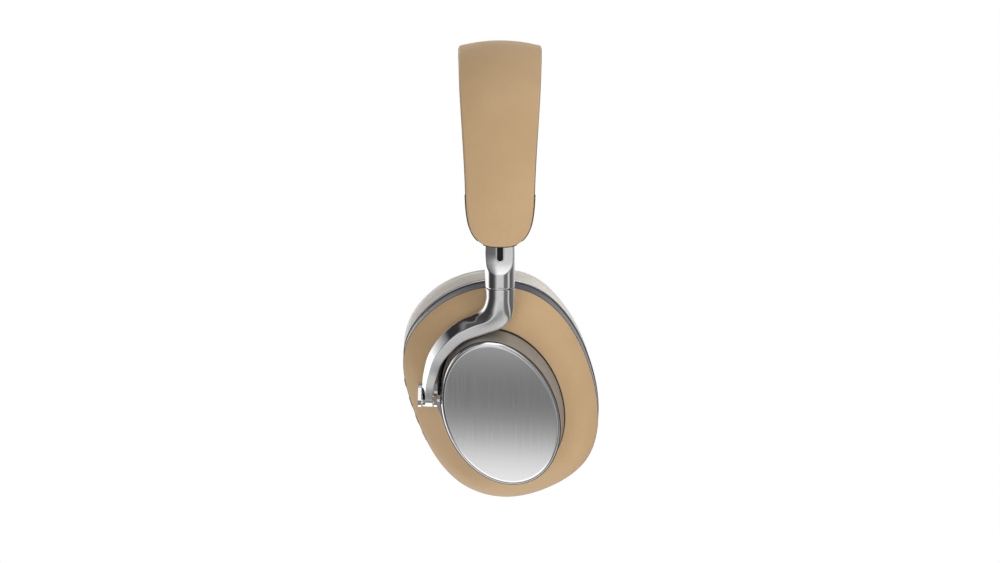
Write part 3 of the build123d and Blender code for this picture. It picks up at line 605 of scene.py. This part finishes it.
def arm_section(row):
    """Five-sided section with rounded corners, which turns into a circle as roundness nears 1."""
    outer, inner = row[0:2], row[2:4]
    back, front, bevel, roundness = row[4:8]
    roundness = min(max(roundness, 0.0), 1.0)
    across = inner - outer
    width = np.linalg.norm(across)
    across /= width
    half = width / 2
    knee = back + 0.2 * (front - back)
    square = np.array([(-half + 0.5, back), (-half, knee), (-half + bevel * width, front),
                       (half - 0.15, front), (half - 1.5, back)])
    lift, height = (front + back) / 2, (front - back) / 2
    on_round = np.stack([half * np.cos(round_angles[:5]), lift + height * np.sin(round_angles[:5])], -1)
    swing = (round_angles[:5] + round_angles[1:]) / 2
    bulges = np.stack([half * np.cos(swing), lift + height * np.sin(swing)], -1)
    corners = roundness * on_round + (1 - roundness) * square
    section = []
    for i in range(5):
        start, end = corners[i], corners[(i + 1) % 5]
        chord = end - start
        length = np.linalg.norm(chord)
        flat = (start + end) / 2 + 0.02 * np.array([-chord[1], chord[0]]) / length
        middle = roundness * bulges[i] + (1 - roundness) * flat
        low = min(0.3, corner_radii[i] * (1 + 4 * roundness) / length)
        high = min(0.3, corner_radii[(i + 1) % 5] * (1 + 4 * roundness) / length)
        section.append(arc_points(start, middle, end, np.linspace(low, 1 - high, 9)))
    loop = []
    for i in range(5):
        before, after = section[i - 1][-1], section[i][0]
        for t in (0.25, 0.5, 0.75):
            loop.append((1 - t) ** 2 * before + 2 * t * (1 - t) * corners[i] + t**2 * after)
        loop.extend(section[i])
    loop = np.array(loop)
    middle = (outer + inner) / 2
    return np.stack([middle[0] + loop[:, 0] * across[0], middle[1] + loop[:, 0] * across[1],
                     loop[:, 1]], -1)


def arm_mesh():
    rows = []
    ring = arm_section(np.array(arm_rows[0], float))
    for height, inset in collar_lip:
        row = ring.copy()
        row[:, [0, 2]] *= 1 - inset / collar_radius
        row[:, 1] = height
        rows.append(row)
    for row in smooth_rows(arm_rows, np.linspace(0, len(arm_rows) - 1, 110)):
        rows.append(arm_section(row))
    last = rows[-1]
    for turn in tip_turns:
        row = last.copy()
        row[:, 1] = last[:, 1] - tip_length * math.sin(turn)
        row[:, 2] = last[:, 2] * (0.25 + 0.75 * math.cos(turn)) + 0.1 * math.sin(turn)
        rows.append(row)
    return np.array(rows)


rows = arm_mesh()
faces = capped_faces(len(rows), rows.shape[1])
arm = new_piece("yoke_arm_body_right", from_arm(*rows.reshape(-1, 3).T), faces,
                "polished_aluminium")
pair(arm, "yoke", "yoke_arm")

# ---------------- headband shapes
band_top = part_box("headband_cover")[1][2] / MM
top_radius, shoulder_radius = 100.0, 58.0
top_turn, leg_turn = math.radians(38), math.radians(96)
leg_length, crown_radius = 20.2, 70.0
half_length = top_radius * top_turn + shoulder_radius * (leg_turn - top_turn) + leg_length
band_side = [(18.8, 18), (17.2, -12.9), (14.8, -52.8), (13.9, -66), (12.9, -70.2), (10.7, -74.1),
             (6.6, -77.2)]
band_low = -78.0


def arch_places(lengths):
    """Outer surface and inward direction, as (y, z), at lengths from the middle of the top."""
    places, inward = [], []
    arch_centre = np.array([0.0, band_top - top_radius])
    top_end = np.array([-math.sin(top_turn), math.cos(top_turn)])
    shoulder_centre = arch_centre + (top_radius - shoulder_radius) * top_end
    for length in lengths:
        side = -1.0 if length < 0 else 1.0
        length = abs(length)
        if length < top_radius * top_turn:
            turn, centre, radius, rest = length / top_radius, arch_centre, top_radius, 0.0
        elif length < half_length - leg_length:
            turn = top_turn + (length - top_radius * top_turn) / shoulder_radius
            centre, radius, rest = shoulder_centre, shoulder_radius, 0.0
        else:
            turn, centre, radius = leg_turn, shoulder_centre, shoulder_radius
            rest = length - (half_length - leg_length)
        outward = np.array([-math.sin(turn), math.cos(turn)])
        place = centre + radius * outward + rest * np.array([-math.cos(turn), -math.sin(turn)])
        places.append((side * place[0], place[1]))
        inward.append((-side * outward[0], -outward[1]))
    return np.array(places), np.array(inward)


def smooth_side():
    """Edge of the band as dense (half-width, height) points."""
    knots = np.array([*band_side, (0.0, band_low)])
    steps = np.linalg.norm(np.diff(knots, axis=0), axis=1)
    n = len(knots)
    system, right = np.zeros((n, n)), np.zeros((n, 2))
    system[0, 0] = system[-1, -1] = 1
    right[0], right[-1] = (-0.05, -1), (-1, 0)
    for i in range(1, n - 1):
        before, after = steps[i - 1], steps[i]
        system[i, i - 1], system[i, i], system[i, i + 1] = after, 2 * (before + after), before
        right[i] = slope_terms(knots[i - 1], knots[i], knots[i + 1], before, after)
    slopes = np.linalg.solve(system, right)
    curve = []
    for i in range(n - 1):
        t = np.linspace(0, 1, 60, endpoint=i == n - 2)[:, None]
        curve.append(cubic(t, knots[i], knots[i + 1], steps[i] * slopes[i], steps[i] * slopes[i + 1]))
    return np.concatenate(curve)


side_curve = smooth_side()


def band_half_width(height):
    return np.interp(-np.asarray(height), -side_curve[:, 1], side_curve[:, 0])


def band_edge_height(half_width):
    """Height of the band's end at a distance from its middle line."""
    return np.interp(np.abs(half_width), side_curve[::-1, 0], side_curve[::-1, 1])


def band_points(lengths, across, depth):
    """Points of the band: rows along it, columns across it (mm from the middle) and in depth."""
    places, inward = arch_places(lengths)
    deep = depth + across**2 / (2 * crown_radius)
    y = places[:, 0:1] + deep * inward[:, 0:1]
    z = places[:, 1:2] + deep * inward[:, 1:2]
    return np.stack([across, y, z], -1)


# rows are dense round the two ends
tip_steps = np.array([0.02, 0.06, 0.14, 0.26, 0.42, 0.65, 0.95, 1.3, 1.8, 2.5, 3.4, 4.6, 6.2, 8.2,
                      10.6, 13.4, 17.0])
lean_cos = math.cos(math.radians(6))
end_z = arch_places([half_length])[0][0][1]
tip_reach = half_length + (end_z - band_low) / lean_cos
lengths = np.concatenate([-(tip_reach - tip_steps), np.linspace(-(tip_reach - 21), tip_reach - 21, 90),
                          (tip_reach - tip_steps)[::-1]])
row_heights = arch_places(lengths)[0][:, 1]
row_widths = band_half_width(row_heights)
edge_round = 0.6
insets = np.array([0.0, 0.05, 0.18, 0.38, 0.6, 0.85, 1.8])
wall_depths = np.array([2.3, 3.4, 4.6, 5.6, 6.3])
lip_width, lip_depths = 1.7, (4.6, 6.5)  # turned-in edge
bar_opening = (7.1, 2.9)  # half-width of the sliders' opening, and the depth left in front of it


def band_cover_mesh():
    """Leather across the band, rounded at its edges, down its walls and in under them."""
    half = row_widths[:, None]
    shares = np.linspace(-1, 1, 15)
    inner_half = np.maximum(half - insets[-1], 0.25 * half)
    columns = []
    edge = np.minimum(insets[None, :], 0.75 * half * insets[None, :] / insets[-1])
    left = -(half - edge)
    middle = inner_half * shares[None, 1:-1]
    top_across = np.concatenate([left, middle, -left[:, ::-1]], axis=1)
    beside = np.maximum(half - np.abs(top_across), 1e-6)
    above = np.maximum(row_heights[:, None] - band_edge_height(top_across), 1e-6)
    gap = 1 / np.sqrt(1 / beside**2 + 1 / above**2)
    gap = np.where(np.abs(lengths)[:, None] < half_length - 12, beside, gap)
    near = np.clip(edge_round - gap, 0, edge_round)
    depth = edge_round - np.sqrt(edge_round**2 - near**2)
    wall = np.ones(len(wall_depths))[None, :] * half
    lip = np.maximum(half - lip_width, 0)
    deepest = np.where(half < bar_opening[0], bar_opening[1], lip_depths[1])
    across = np.concatenate([-lip, -lip, -wall[:, ::-1], top_across, wall, lip, lip], axis=1)
    lip_deep = np.ones_like(half) * lip_depths
    wall_deep = np.broadcast_to(wall_depths, wall.shape)
    deep = np.concatenate([lip_deep, wall_deep[:, ::-1], depth, wall_deep, lip_deep[:, ::-1]], axis=1)
    return band_points(lengths, across, np.minimum(deep, deepest))


rows = band_cover_mesh()
cover = new_piece("headband_leather", rows, grid_faces(len(rows), rows.shape[1], closed_columns=False),
                  "tan_leather")
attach(cover, "headband")
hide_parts("headband_cover")

# a thin dark line along each long edge of the leather
rim_lengths = np.linspace(-(tip_reach - 9), tip_reach - 9, 220)
edge_depths = np.full((len(rim_lengths), 1), 1.1)
rim_half = band_half_width(arch_places(rim_lengths)[0][:, 1])
for number, side in enumerate((-1, 1)):
    path = band_points(rim_lengths, side * (rim_half[:, None] - 0.02), edge_depths)[:, 0]
    line = new_piece(f"headband_edge_{number}", *tube_loop(path, 0.2, closed=False), "piping")
    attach(line, "headband")

# dark line under the leather's ends, partly a dark trim and partly painted shade: in front of each slider it
# stands in for the shadow gap between the leather's lip and the slider
trim_offset, trim_depth, bar_shadow_depth = 0.3, 3.05, 6.75
edge = side_curve[side_curve[:, 1] < -56][::2]
edge_half = np.concatenate([edge[:, 0], -edge[-2::-1, 0]])
edge_height = np.concatenate([edge[:, 1], edge[-2::-1, 1]])
heading = np.stack([np.gradient(edge_half), np.gradient(edge_height)], -1)
heading /= np.linalg.norm(heading, axis=1)[:, None]
edge_half = edge_half - trim_offset * heading[:, 1]
edge_height = edge_height + trim_offset * heading[:, 0]
edge_length = half_length + (end_z - edge_height) / lean_cos
# in front of each slider the dark line is painted shade, set deeper to stand for the shadow gap under the
# leather's lip
bar_shadow_share = np.clip((np.abs(edge_half) - 6.9) / 0.5, 0, 1)
edge_depth = trim_depth + (bar_shadow_depth - trim_depth) * bar_shadow_share
path = band_points(edge_length, edge_half[:, None], edge_depth[:, None])[:, 0]
path[:, 1] = -np.abs(path[:, 1])
trim = new_piece("headband_trim_right", *tube_loop(path, 0.38, closed=False), "piping")
for item in (trim, mirrored_copy(trim, "headband_trim_left")):
    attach(item, "headband")

# ---------------- pad under the headband
pad_near, pad_far, pad_crest = 8.0, 12.6, 15.1
guide_room = (9.9, 10.5)  # half-width and depth left free for the slider guides
pad_lengths = lengths[1:-1]


def band_pad_mesh():
    """Closed skin: crowned face, rounded sides, and a back with room for the slider guides."""
    half = np.maximum(band_half_width(row_heights[1:-1]) - 0.7, 0.6)[:, None]
    along = np.abs(pad_lengths)[:, None]
    blend = np.clip((78 - along) / 60, 0, 1)
    far = pad_far + (pad_crest - pad_far) * blend**2 * (3 - 2 * blend)
    room = np.where(along > 62, guide_room[1], pad_near + 0.3)
    inner = np.minimum(guide_room[0], np.maximum(half - 2.0, 0.25 * half))
    shares = np.linspace(-1, 1, 19)
    face = half * shares * 0.93
    sides = [-half * 0.97, -half, -half, -half * 0.985, -half * 0.965]
    side_depth = [pad_near, pad_near + 0.5, (pad_near + far) / 2 - 0.8, far - 1.9, far - 0.9]
    across = np.concatenate([*sides, face, *[-side for side in sides[::-1]],
                             inner, inner, -inner, -inner], axis=1)
    flat = np.ones_like(half)
    crown = far - 0.25 + 0.55 * (1 - shares[None, :] ** 4)
    deep = np.concatenate([*[depth * flat for depth in side_depth], crown,
                           *[depth * flat for depth in side_depth[::-1]],
                           pad_near * flat, room * flat, room * flat, pad_near * flat], axis=1)
    return band_points(pad_lengths, across, deep)


rows = band_pad_mesh()
faces = capped_faces(len(rows), rows.shape[1])
pad = new_piece("headband_pad_skin", rows, faces, "stone_leather")
flat_rows = band_points(pad_lengths, np.zeros((len(rows), 1)), np.full((len(rows), 1), 10.2))[:, 0]
held = np.zeros(len(pad.data.vertices), bool)  # the side against the band
for index, place in enumerate(vertex_places(pad.data) / MM):
    nearest = np.argmin(np.abs(flat_rows[:, 1] - place[1]) + np.abs(flat_rows[:, 2] - place[2]))
    inwards = arch_places([pad_lengths[nearest]])[1][0]
    sag = place[0] ** 2 / (2 * crown_radius)
    held[index] = (place[1:] - flat_rows[nearest, 1:]) @ inwards - sag < 0.8
inflate(pad, 0.8, held)
subdivide(pad)
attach(pad, "headband")
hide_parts("headband_pad")

# ---------------- leather domes
# height, margin and share of the drum's oval; then height and margin round the rim
dome_stations = [(-20.0, 0.0, 0.0), (-17.2, -2.3, 0.0), (-13.6, -6.6, 0.0), (-9.0, 1.0, 1.0)]
dome_rim = [(-20.0, -1.6), (-20.0, -0.7), (-19.93, -0.35), (-19.75, -0.1)]
dome_skin = 1.2


def dome_outline(margin, to_oval):
    """Outline between the rim (to_oval 0) and the drum's oval (1)."""
    arms = np.array(rim_points) - rim_centre
    angle = np.arctan2(arms[:, 1], arms[:, 0])
    turned = angle - math.pi / 2 - oval_slant
    short, long = oval_half + drum_base_growth + margin * to_oval
    oval = short * long / np.sqrt((short * np.cos(turned)) ** 2 + (long * np.sin(turned)) ** 2)
    rim = np.linalg.norm(arms, axis=1) + margin * (1 - to_oval)
    reach = (1 - to_oval) * rim + to_oval * oval
    spokes = np.stack([np.cos(angle), np.sin(angle)], -1)
    return periodic_curve(rim_centre + reach[:, None] * spokes, dome_points)


def dome_mesh():
    """Outer skin from the turned-in rim to the drum, and back along its inside."""
    stations = np.array([np.append(dome_outline(margin, to_oval), np.full(dome_points, height))
                         for height, margin, to_oval in dome_stations])
    flat = 2 * dome_points  # a station's outline, before its heights
    skin = smooth_rows(stations, np.linspace(0.12, 3, 34))
    rows = []
    for height, margin in dome_rim:
        rows.append(from_cup(*rim_outline(margin, count=dome_points).T, height))
    for row in skin:
        rows.append(from_cup(*row[:flat].reshape(-1, 2).T, row[flat:]))
    rows.append(from_cup(*dome_outline(-1.2, 1.0).T, -9.3))
    for row in skin[::-6]:
        arms = row[:flat].reshape(-1, 2) - oval_centre
        reach = np.linalg.norm(arms, axis=1)[:, None]
        rows.append(from_cup(*(oval_centre + arms * (1 - 1.5 / reach)).T, row[flat:] - dome_skin))
    return np.array(rows)


rows = dome_mesh()
dome = new_piece("dome_leather_right", rows, grid_faces(len(rows), rows.shape[1], closed_rows=True),
                 "tan_leather")
pair(dome, "cup", "outer_cover")

# ---------------- end plates
# the bright bevel: height and growth, from the wall up
bevel_rows = [(3.3, -1.5), (3.3, -0.05), (3.34, 0.0), (3.5, 0.0), (3.58, -0.03), (4.43, -0.56),
              (4.51, -0.63), (4.52, -0.75), (4.0, -0.85)]
plate_edge, plate_height, plate_crown, plate_back = 0.76, 4.5, 0.5, 3.4

rows = np.array([from_cup(*plate_oval(growth, plate_points).T, height) for height, growth in bevel_rows])
bevel = new_piece("plate_bevel_right", rows, grid_faces(len(rows), rows.shape[1], closed_rows=True),
                  "polished_aluminium")
pair(bevel, "cup")

# black ring round the plate's side wall under the bevel: painted shade, a dark line standing in for the shadow gap
# between the drum's wall and the plate's bevel
shadow_line_path = from_cup(*plate_oval(0.12).T, 3.25)
shadow_line = new_piece("plate_gasket_right", *tube_loop(shadow_line_path, 0.22), "black_polymer")
pair(shadow_line, "cup")

shares = np.concatenate([np.linspace(0.02, 0.9, 16), [0.96, 1.0]])
arms = plate_oval(-plate_edge, plate_points) - oval_centre
rows = [from_cup(*(oval_centre + arms * share).T, plate_height + plate_crown * (1 - share**2))
        for share in shares]
rows += [from_cup(*(oval_centre + arms * share).T, plate_back) for share in (1.0, shares[0])]
face = new_piece("plate_face_right", np.array(rows), capped_faces(len(rows), plate_points),
                 "brushed_plate")
pair(face, "cup", "end_plate")

# ---------------- sliders
slider_rows = np.concatenate([[0.15, 0.3, 0.6], np.arange(1.2, 6.0, 0.8), np.arange(6.0, 13.0, 0.16),
                              np.arange(13.2, 19, 0.7), np.arange(19.6, 41.0, 2.0),
                              np.arange(41.4, 45.0, 0.4), [46, 48, 50, 51.1]])
face_crest, left_slope, right_slope = 3.5, math.tan(math.radians(21)), math.tan(math.radians(6))
scoop_low, scoop_high = 6.1, 11.9
tongue_step, tongue_ramp, tongue_front = 41.8, 2.5, 1.2
back_heights, back_depths = [6.2, 7.2, 8.6, 10.2, 12.0], [-6.5, -4.9, -3.9, -2.7, -2.0]


def slider_radius(height):
    return np.interp(height, [0.15, 0.4, 16, 21], [6.25, collar_radius, collar_radius, 6.27])


def slider_mesh():
    """Round collar that runs out through a cove into a flat-faced bar with a thin tongue."""
    turns = np.linspace(0, math.pi, 61)
    rows = []
    for height in slider_rows:
        radius = slider_radius(height)
        across = radius * np.cos(turns)
        round_front = radius * np.sin(turns)
        ramp = np.clip((scoop_high - height) / (scoop_high - scoop_low), 0, 1.2)
        crest = face_crest + (radius + 0.3 - face_crest) * ramp**1.5
        tongue = np.clip((height - tongue_step) / tongue_ramp, 0, 1)
        soft = 0.6 + 2.4 * np.clip((14.5 - height) / 2.5, 0, 1)
        ridge = np.sqrt(across**2 + soft**2) - soft
        flat_face = crest - np.where(across < 0, left_slope, right_slope) * ridge
        flat_face = flat_face * (1 - tongue) + np.minimum(flat_face, tongue_front) * tongue
        gap = round_front - flat_face
        front = round_front
        if height > scoop_low - 0.6:
            front = flat_face + 0.5 * (gap - np.sqrt(gap**2 + 0.006))
        back = np.maximum(-radius * np.sin(turns[1:-1]), np.interp(height, back_heights, back_depths))
        rows.append(np.stack([np.concatenate([across, across[1:-1][::-1]]),
                              np.full(2 * len(turns) - 2, height),
                              np.concatenate([front, back[::-1]])], -1))
    return np.array(rows)


rows = slider_mesh()
faces = capped_faces(len(rows), rows.shape[1])
slider = new_piece("slider_bar_right", from_slider(*rows.reshape(-1, 3).T), faces,
                   "polished_aluminium")

slot_half, slot_end, slot_top = 1.45, 11.9, 53.0
turns = np.linspace(-math.pi, 0, 17)
outline = np.stack([slot_half * np.cos(turns), slot_end + slot_half + slot_half * np.sin(turns)], -1)
outline = np.vstack([outline, [(slot_half, slot_top), (-slot_half, slot_top)]])
cutter_rows = np.array([np.column_stack([outline, np.full(len(outline), depth)])
                        for depth in (-0.35, 8.0)])
cutter = new_piece("slot_cutter", from_slider(*cutter_rows.reshape(-1, 3).T), capped_faces(2, len(outline)),
                   "polished_aluminium")
cut = slider.modifiers.new("slot", "BOOLEAN")
cut.operation, cut.object, cut.solver = "DIFFERENCE", cutter, "EXACT"
apply_modifiers(slider)
bpy.data.objects.remove(cutter)
slider.data.set_sharp_from_angle(angle=math.radians(50))
pair(slider, "slider", "slider_arm")

# rounded lip round the slot
rim_turns = np.linspace(-math.pi, 0, 25)
lip_half = 1.5
rim = np.stack([lip_half * np.cos(rim_turns), slot_end + slot_half + lip_half * np.sin(rim_turns)], -1)
rim = np.vstack([[(-lip_half, 30.0), (-lip_half, 22.0)], rim, [(lip_half, 22.0), (lip_half, 30.0)]])
ridge = np.sqrt(rim[:, 0] ** 2 + 0.36) - 0.6
crest = face_crest - np.where(rim[:, 0] < 0, left_slope, right_slope) * ridge
path = from_slider(rim[:, 0], rim[:, 1], crest - 0.1)
lip = new_piece("slot_lip_right", *tube_loop(path, 0.36, closed=False), "polished_aluminium")
pair(lip, "slider")

# ---------------- floor, backdrop and light
floor_height = cad_bounds[0][2] - 0.06  # low enough for the cups with the sliders drawn out


def stage_plane(name, size, location, rotation=(0, 0, 0)):
    bpy.ops.mesh.primitive_plane_add(size=size, location=location, rotation=rotation)
    plane = bpy.context.object
    plane.name = name
    return plane


# The floor is as white as the wall behind it, so the two meet without a line.
floor = stage_plane("floor", 30.0, (0, 0, floor_height))
floor_material, tree, shader = new_material("floor_white")
for key, value in (("Base Color", (0, 0, 0, 1)), ("Specular IOR Level", 0), ("Roughness", 1),
                   ("Emission Color", (1, 1, 1, 1)), ("Emission Strength", 1.0)):
    shader.inputs[key].default_value = value
floor.data.materials.append(floor_material)
floor.visible_diffuse = floor.visible_glossy = floor.visible_shadow = False

# Studio around the object: grey walls with black flags and soft white boxes, by azimuth
# (from straight ahead of the object's right side, towards its front) and by height.
ring_stops = [(-180, 1.25), (-106, 1.25), (-98, 0.5), (-90, 0.05), (-56, 0.05), (-43, 0.13), (-35, 0.3),
              (-27, 0.55), (-18, 0.68), (20, 0.68), (28, 0.5), (35, 0.15), (60, 0.17), (66, 0.6),
              (75, 0.7), (83, 0.2), (90, 0.1), (116, 0.17), (128, 0.4), (180, 0.95)]
open_stops = [(-90, 1.2), (-45, 1.15), (-12, 0.98), (0, 1.0), (30, 1.1), (60, 1.6), (90, 1.6)]
card_stops = [(-90, 1.3), (-62, 1.3), (-49, 1.27), (-44, 0.62), (-38.5, 0.27), (-33, 0.265), (-29, 0.35),
              (-26, 0.48), (-20, 0.78), (-12, 0.98), (0, 1.0), (30, 1.1), (60, 1.6), (90, 1.6)]
card_sector = [(-180, 0), (-24, 0), (-14, 1), (20, 1), (30, 0), (180, 0)]
# a black flag behind the object's rear, above the horizon
flag_sector = [(-180, 1), (-98, 1), (-90, 0), (140, 0), (155, 1), (180, 1)]
flag_rise = [(-90, 0), (14, 0), (38, 1), (76, 1), (86, 0)]
# a white ceiling over the front half, and a white ground below everything
ceiling_sector = [(-180, 0), (-50, 0), (-15, 1), (140, 1), (155, 0), (180, 0)]
ceiling_rise = [(-90, 0), (62, 0), (72, 1), (90, 1)]
ground_rise = [(-90, 1), (-62, 1), (-50, 0), (90, 0)]


def mix_colours(tree, factor, first, second, blend="MIX"):
    """Blends two colours. Each input is a node's output or a plain value."""
    node = add_node(tree, "ShaderNodeMix", data_type="RGBA", blend_type=blend)
    sockets = node.inputs["Factor"], node.inputs[6], node.inputs[7]
    for socket, value in zip(sockets, (factor, first, second)):
        if isinstance(value, (float, tuple)):
            socket.default_value = value
        else:
            tree.links.new(value, socket)
    return node.outputs[2]


def stops_ramp(tree, value, stops, low, high):
    """Grey levels by angle, in degrees from low to high."""
    ramp = add_node(tree, "ShaderNodeValToRGB")
    elements = ramp.color_ramp.elements
    while len(elements) < len(stops):
        elements.new(0.5)
    for element, (place, level) in zip(elements, stops):
        element.position = (place - low) / (high - low)
        element.color = (level, level, level, 1)
    tree.links.new(value, ramp.inputs["Fac"])
    return ramp.outputs["Color"]


world = bpy.data.worlds.new("studio")
world.use_nodes = True
tree = world.node_tree
direction = add_node(tree, "ShaderNodeTexCoord").outputs["Generated"]
axes = add_node(tree, "ShaderNodeSeparateXYZ")
tree.links.new(direction, axes.inputs["Vector"])
azimuth = maths(tree, "ARCTAN2", axes.outputs["X"], maths(tree, "MULTIPLY", axes.outputs["Y"], -1.0))
height = maths(tree, "ARCSINE", axes.outputs["Z"])
turn = maths(tree, "ADD", maths(tree, "DIVIDE", azimuth, 2 * math.pi), 0.5)
rise = maths(tree, "ADD", maths(tree, "DIVIDE", height, math.pi), 0.5)


def by_azimuth(stops):
    return stops_ramp(tree, turn, stops, -180, 180)


def by_height(stops):
    return stops_ramp(tree, rise, stops, -90, 90)


upward = mix_colours(tree, by_azimuth(card_sector), by_height(open_stops), by_height(card_stops))
walls = mix_colours(tree, 1.0, by_azimuth(ring_stops), upward, "MULTIPLY")
flag = maths(tree, "MULTIPLY", by_azimuth(flag_sector), by_height(flag_rise))
flagged = mix_colours(tree, flag, walls, (0.03, 0.03, 0.034, 1))
overhead = maths(tree, "MULTIPLY", by_height(ceiling_rise), by_azimuth(ceiling_sector))
covered = mix_colours(tree, overhead, flagged, (1.35, 1.35, 1.35, 1))
grounded = mix_colours(tree, by_height(ground_rise), covered, (1.25, 1.25, 1.25, 1))
studio = tree.nodes["Background"]
tree.links.new(grounded, studio.inputs["Color"])
studio.inputs["Strength"].default_value = 1.0
white_wall = add_node(tree, "ShaderNodeBackground")
white_wall.inputs["Color"].default_value = (1, 1, 1, 1)
seen = add_node(tree, "ShaderNodeLightPath").outputs["Is Camera Ray"]
switch = add_node(tree, "ShaderNodeMixShader")
tree.links.new(seen, switch.inputs["Fac"])
tree.links.new(studio.outputs["Background"], switch.inputs[1])
tree.links.new(white_wall.outputs["Background"], switch.inputs[2])
tree.links.new(switch.outputs["Shader"], tree.nodes["World Output"].inputs["Surface"])
bpy.context.scene.world = world
bpy.context.scene.view_settings.view_transform = "Standard"


# Soft boxes for the leather. They are kept out of the metal, which mirrors the studio instead.
soft_boxes = [("key_light", (1.4, -1.3, -0.1), 16), ("low_light", (-0.9, -1.5, -0.8), 9),
              ("top_light", (0.4, 0.2, 1.6), 8.5), ("back_light", (-0.9, 1.5, 0.5), 11)]
box_aim, box_size = Vector((0, 0, -0.1)), 1.0
for name, location, power in soft_boxes:
    box = bpy.data.lights.new(name, "AREA")
    box.shape = "RECTANGLE"
    box.size = box.size_y = box_size
    box.energy = power
    light = bpy.data.objects.new(name, box)
    light.location = location
    light.rotation_euler = (box_aim - Vector(location)).to_track_quat("-Z", "Y").to_euler()
    light.visible_glossy = False
    bpy.context.scene.collection.objects.link(light)
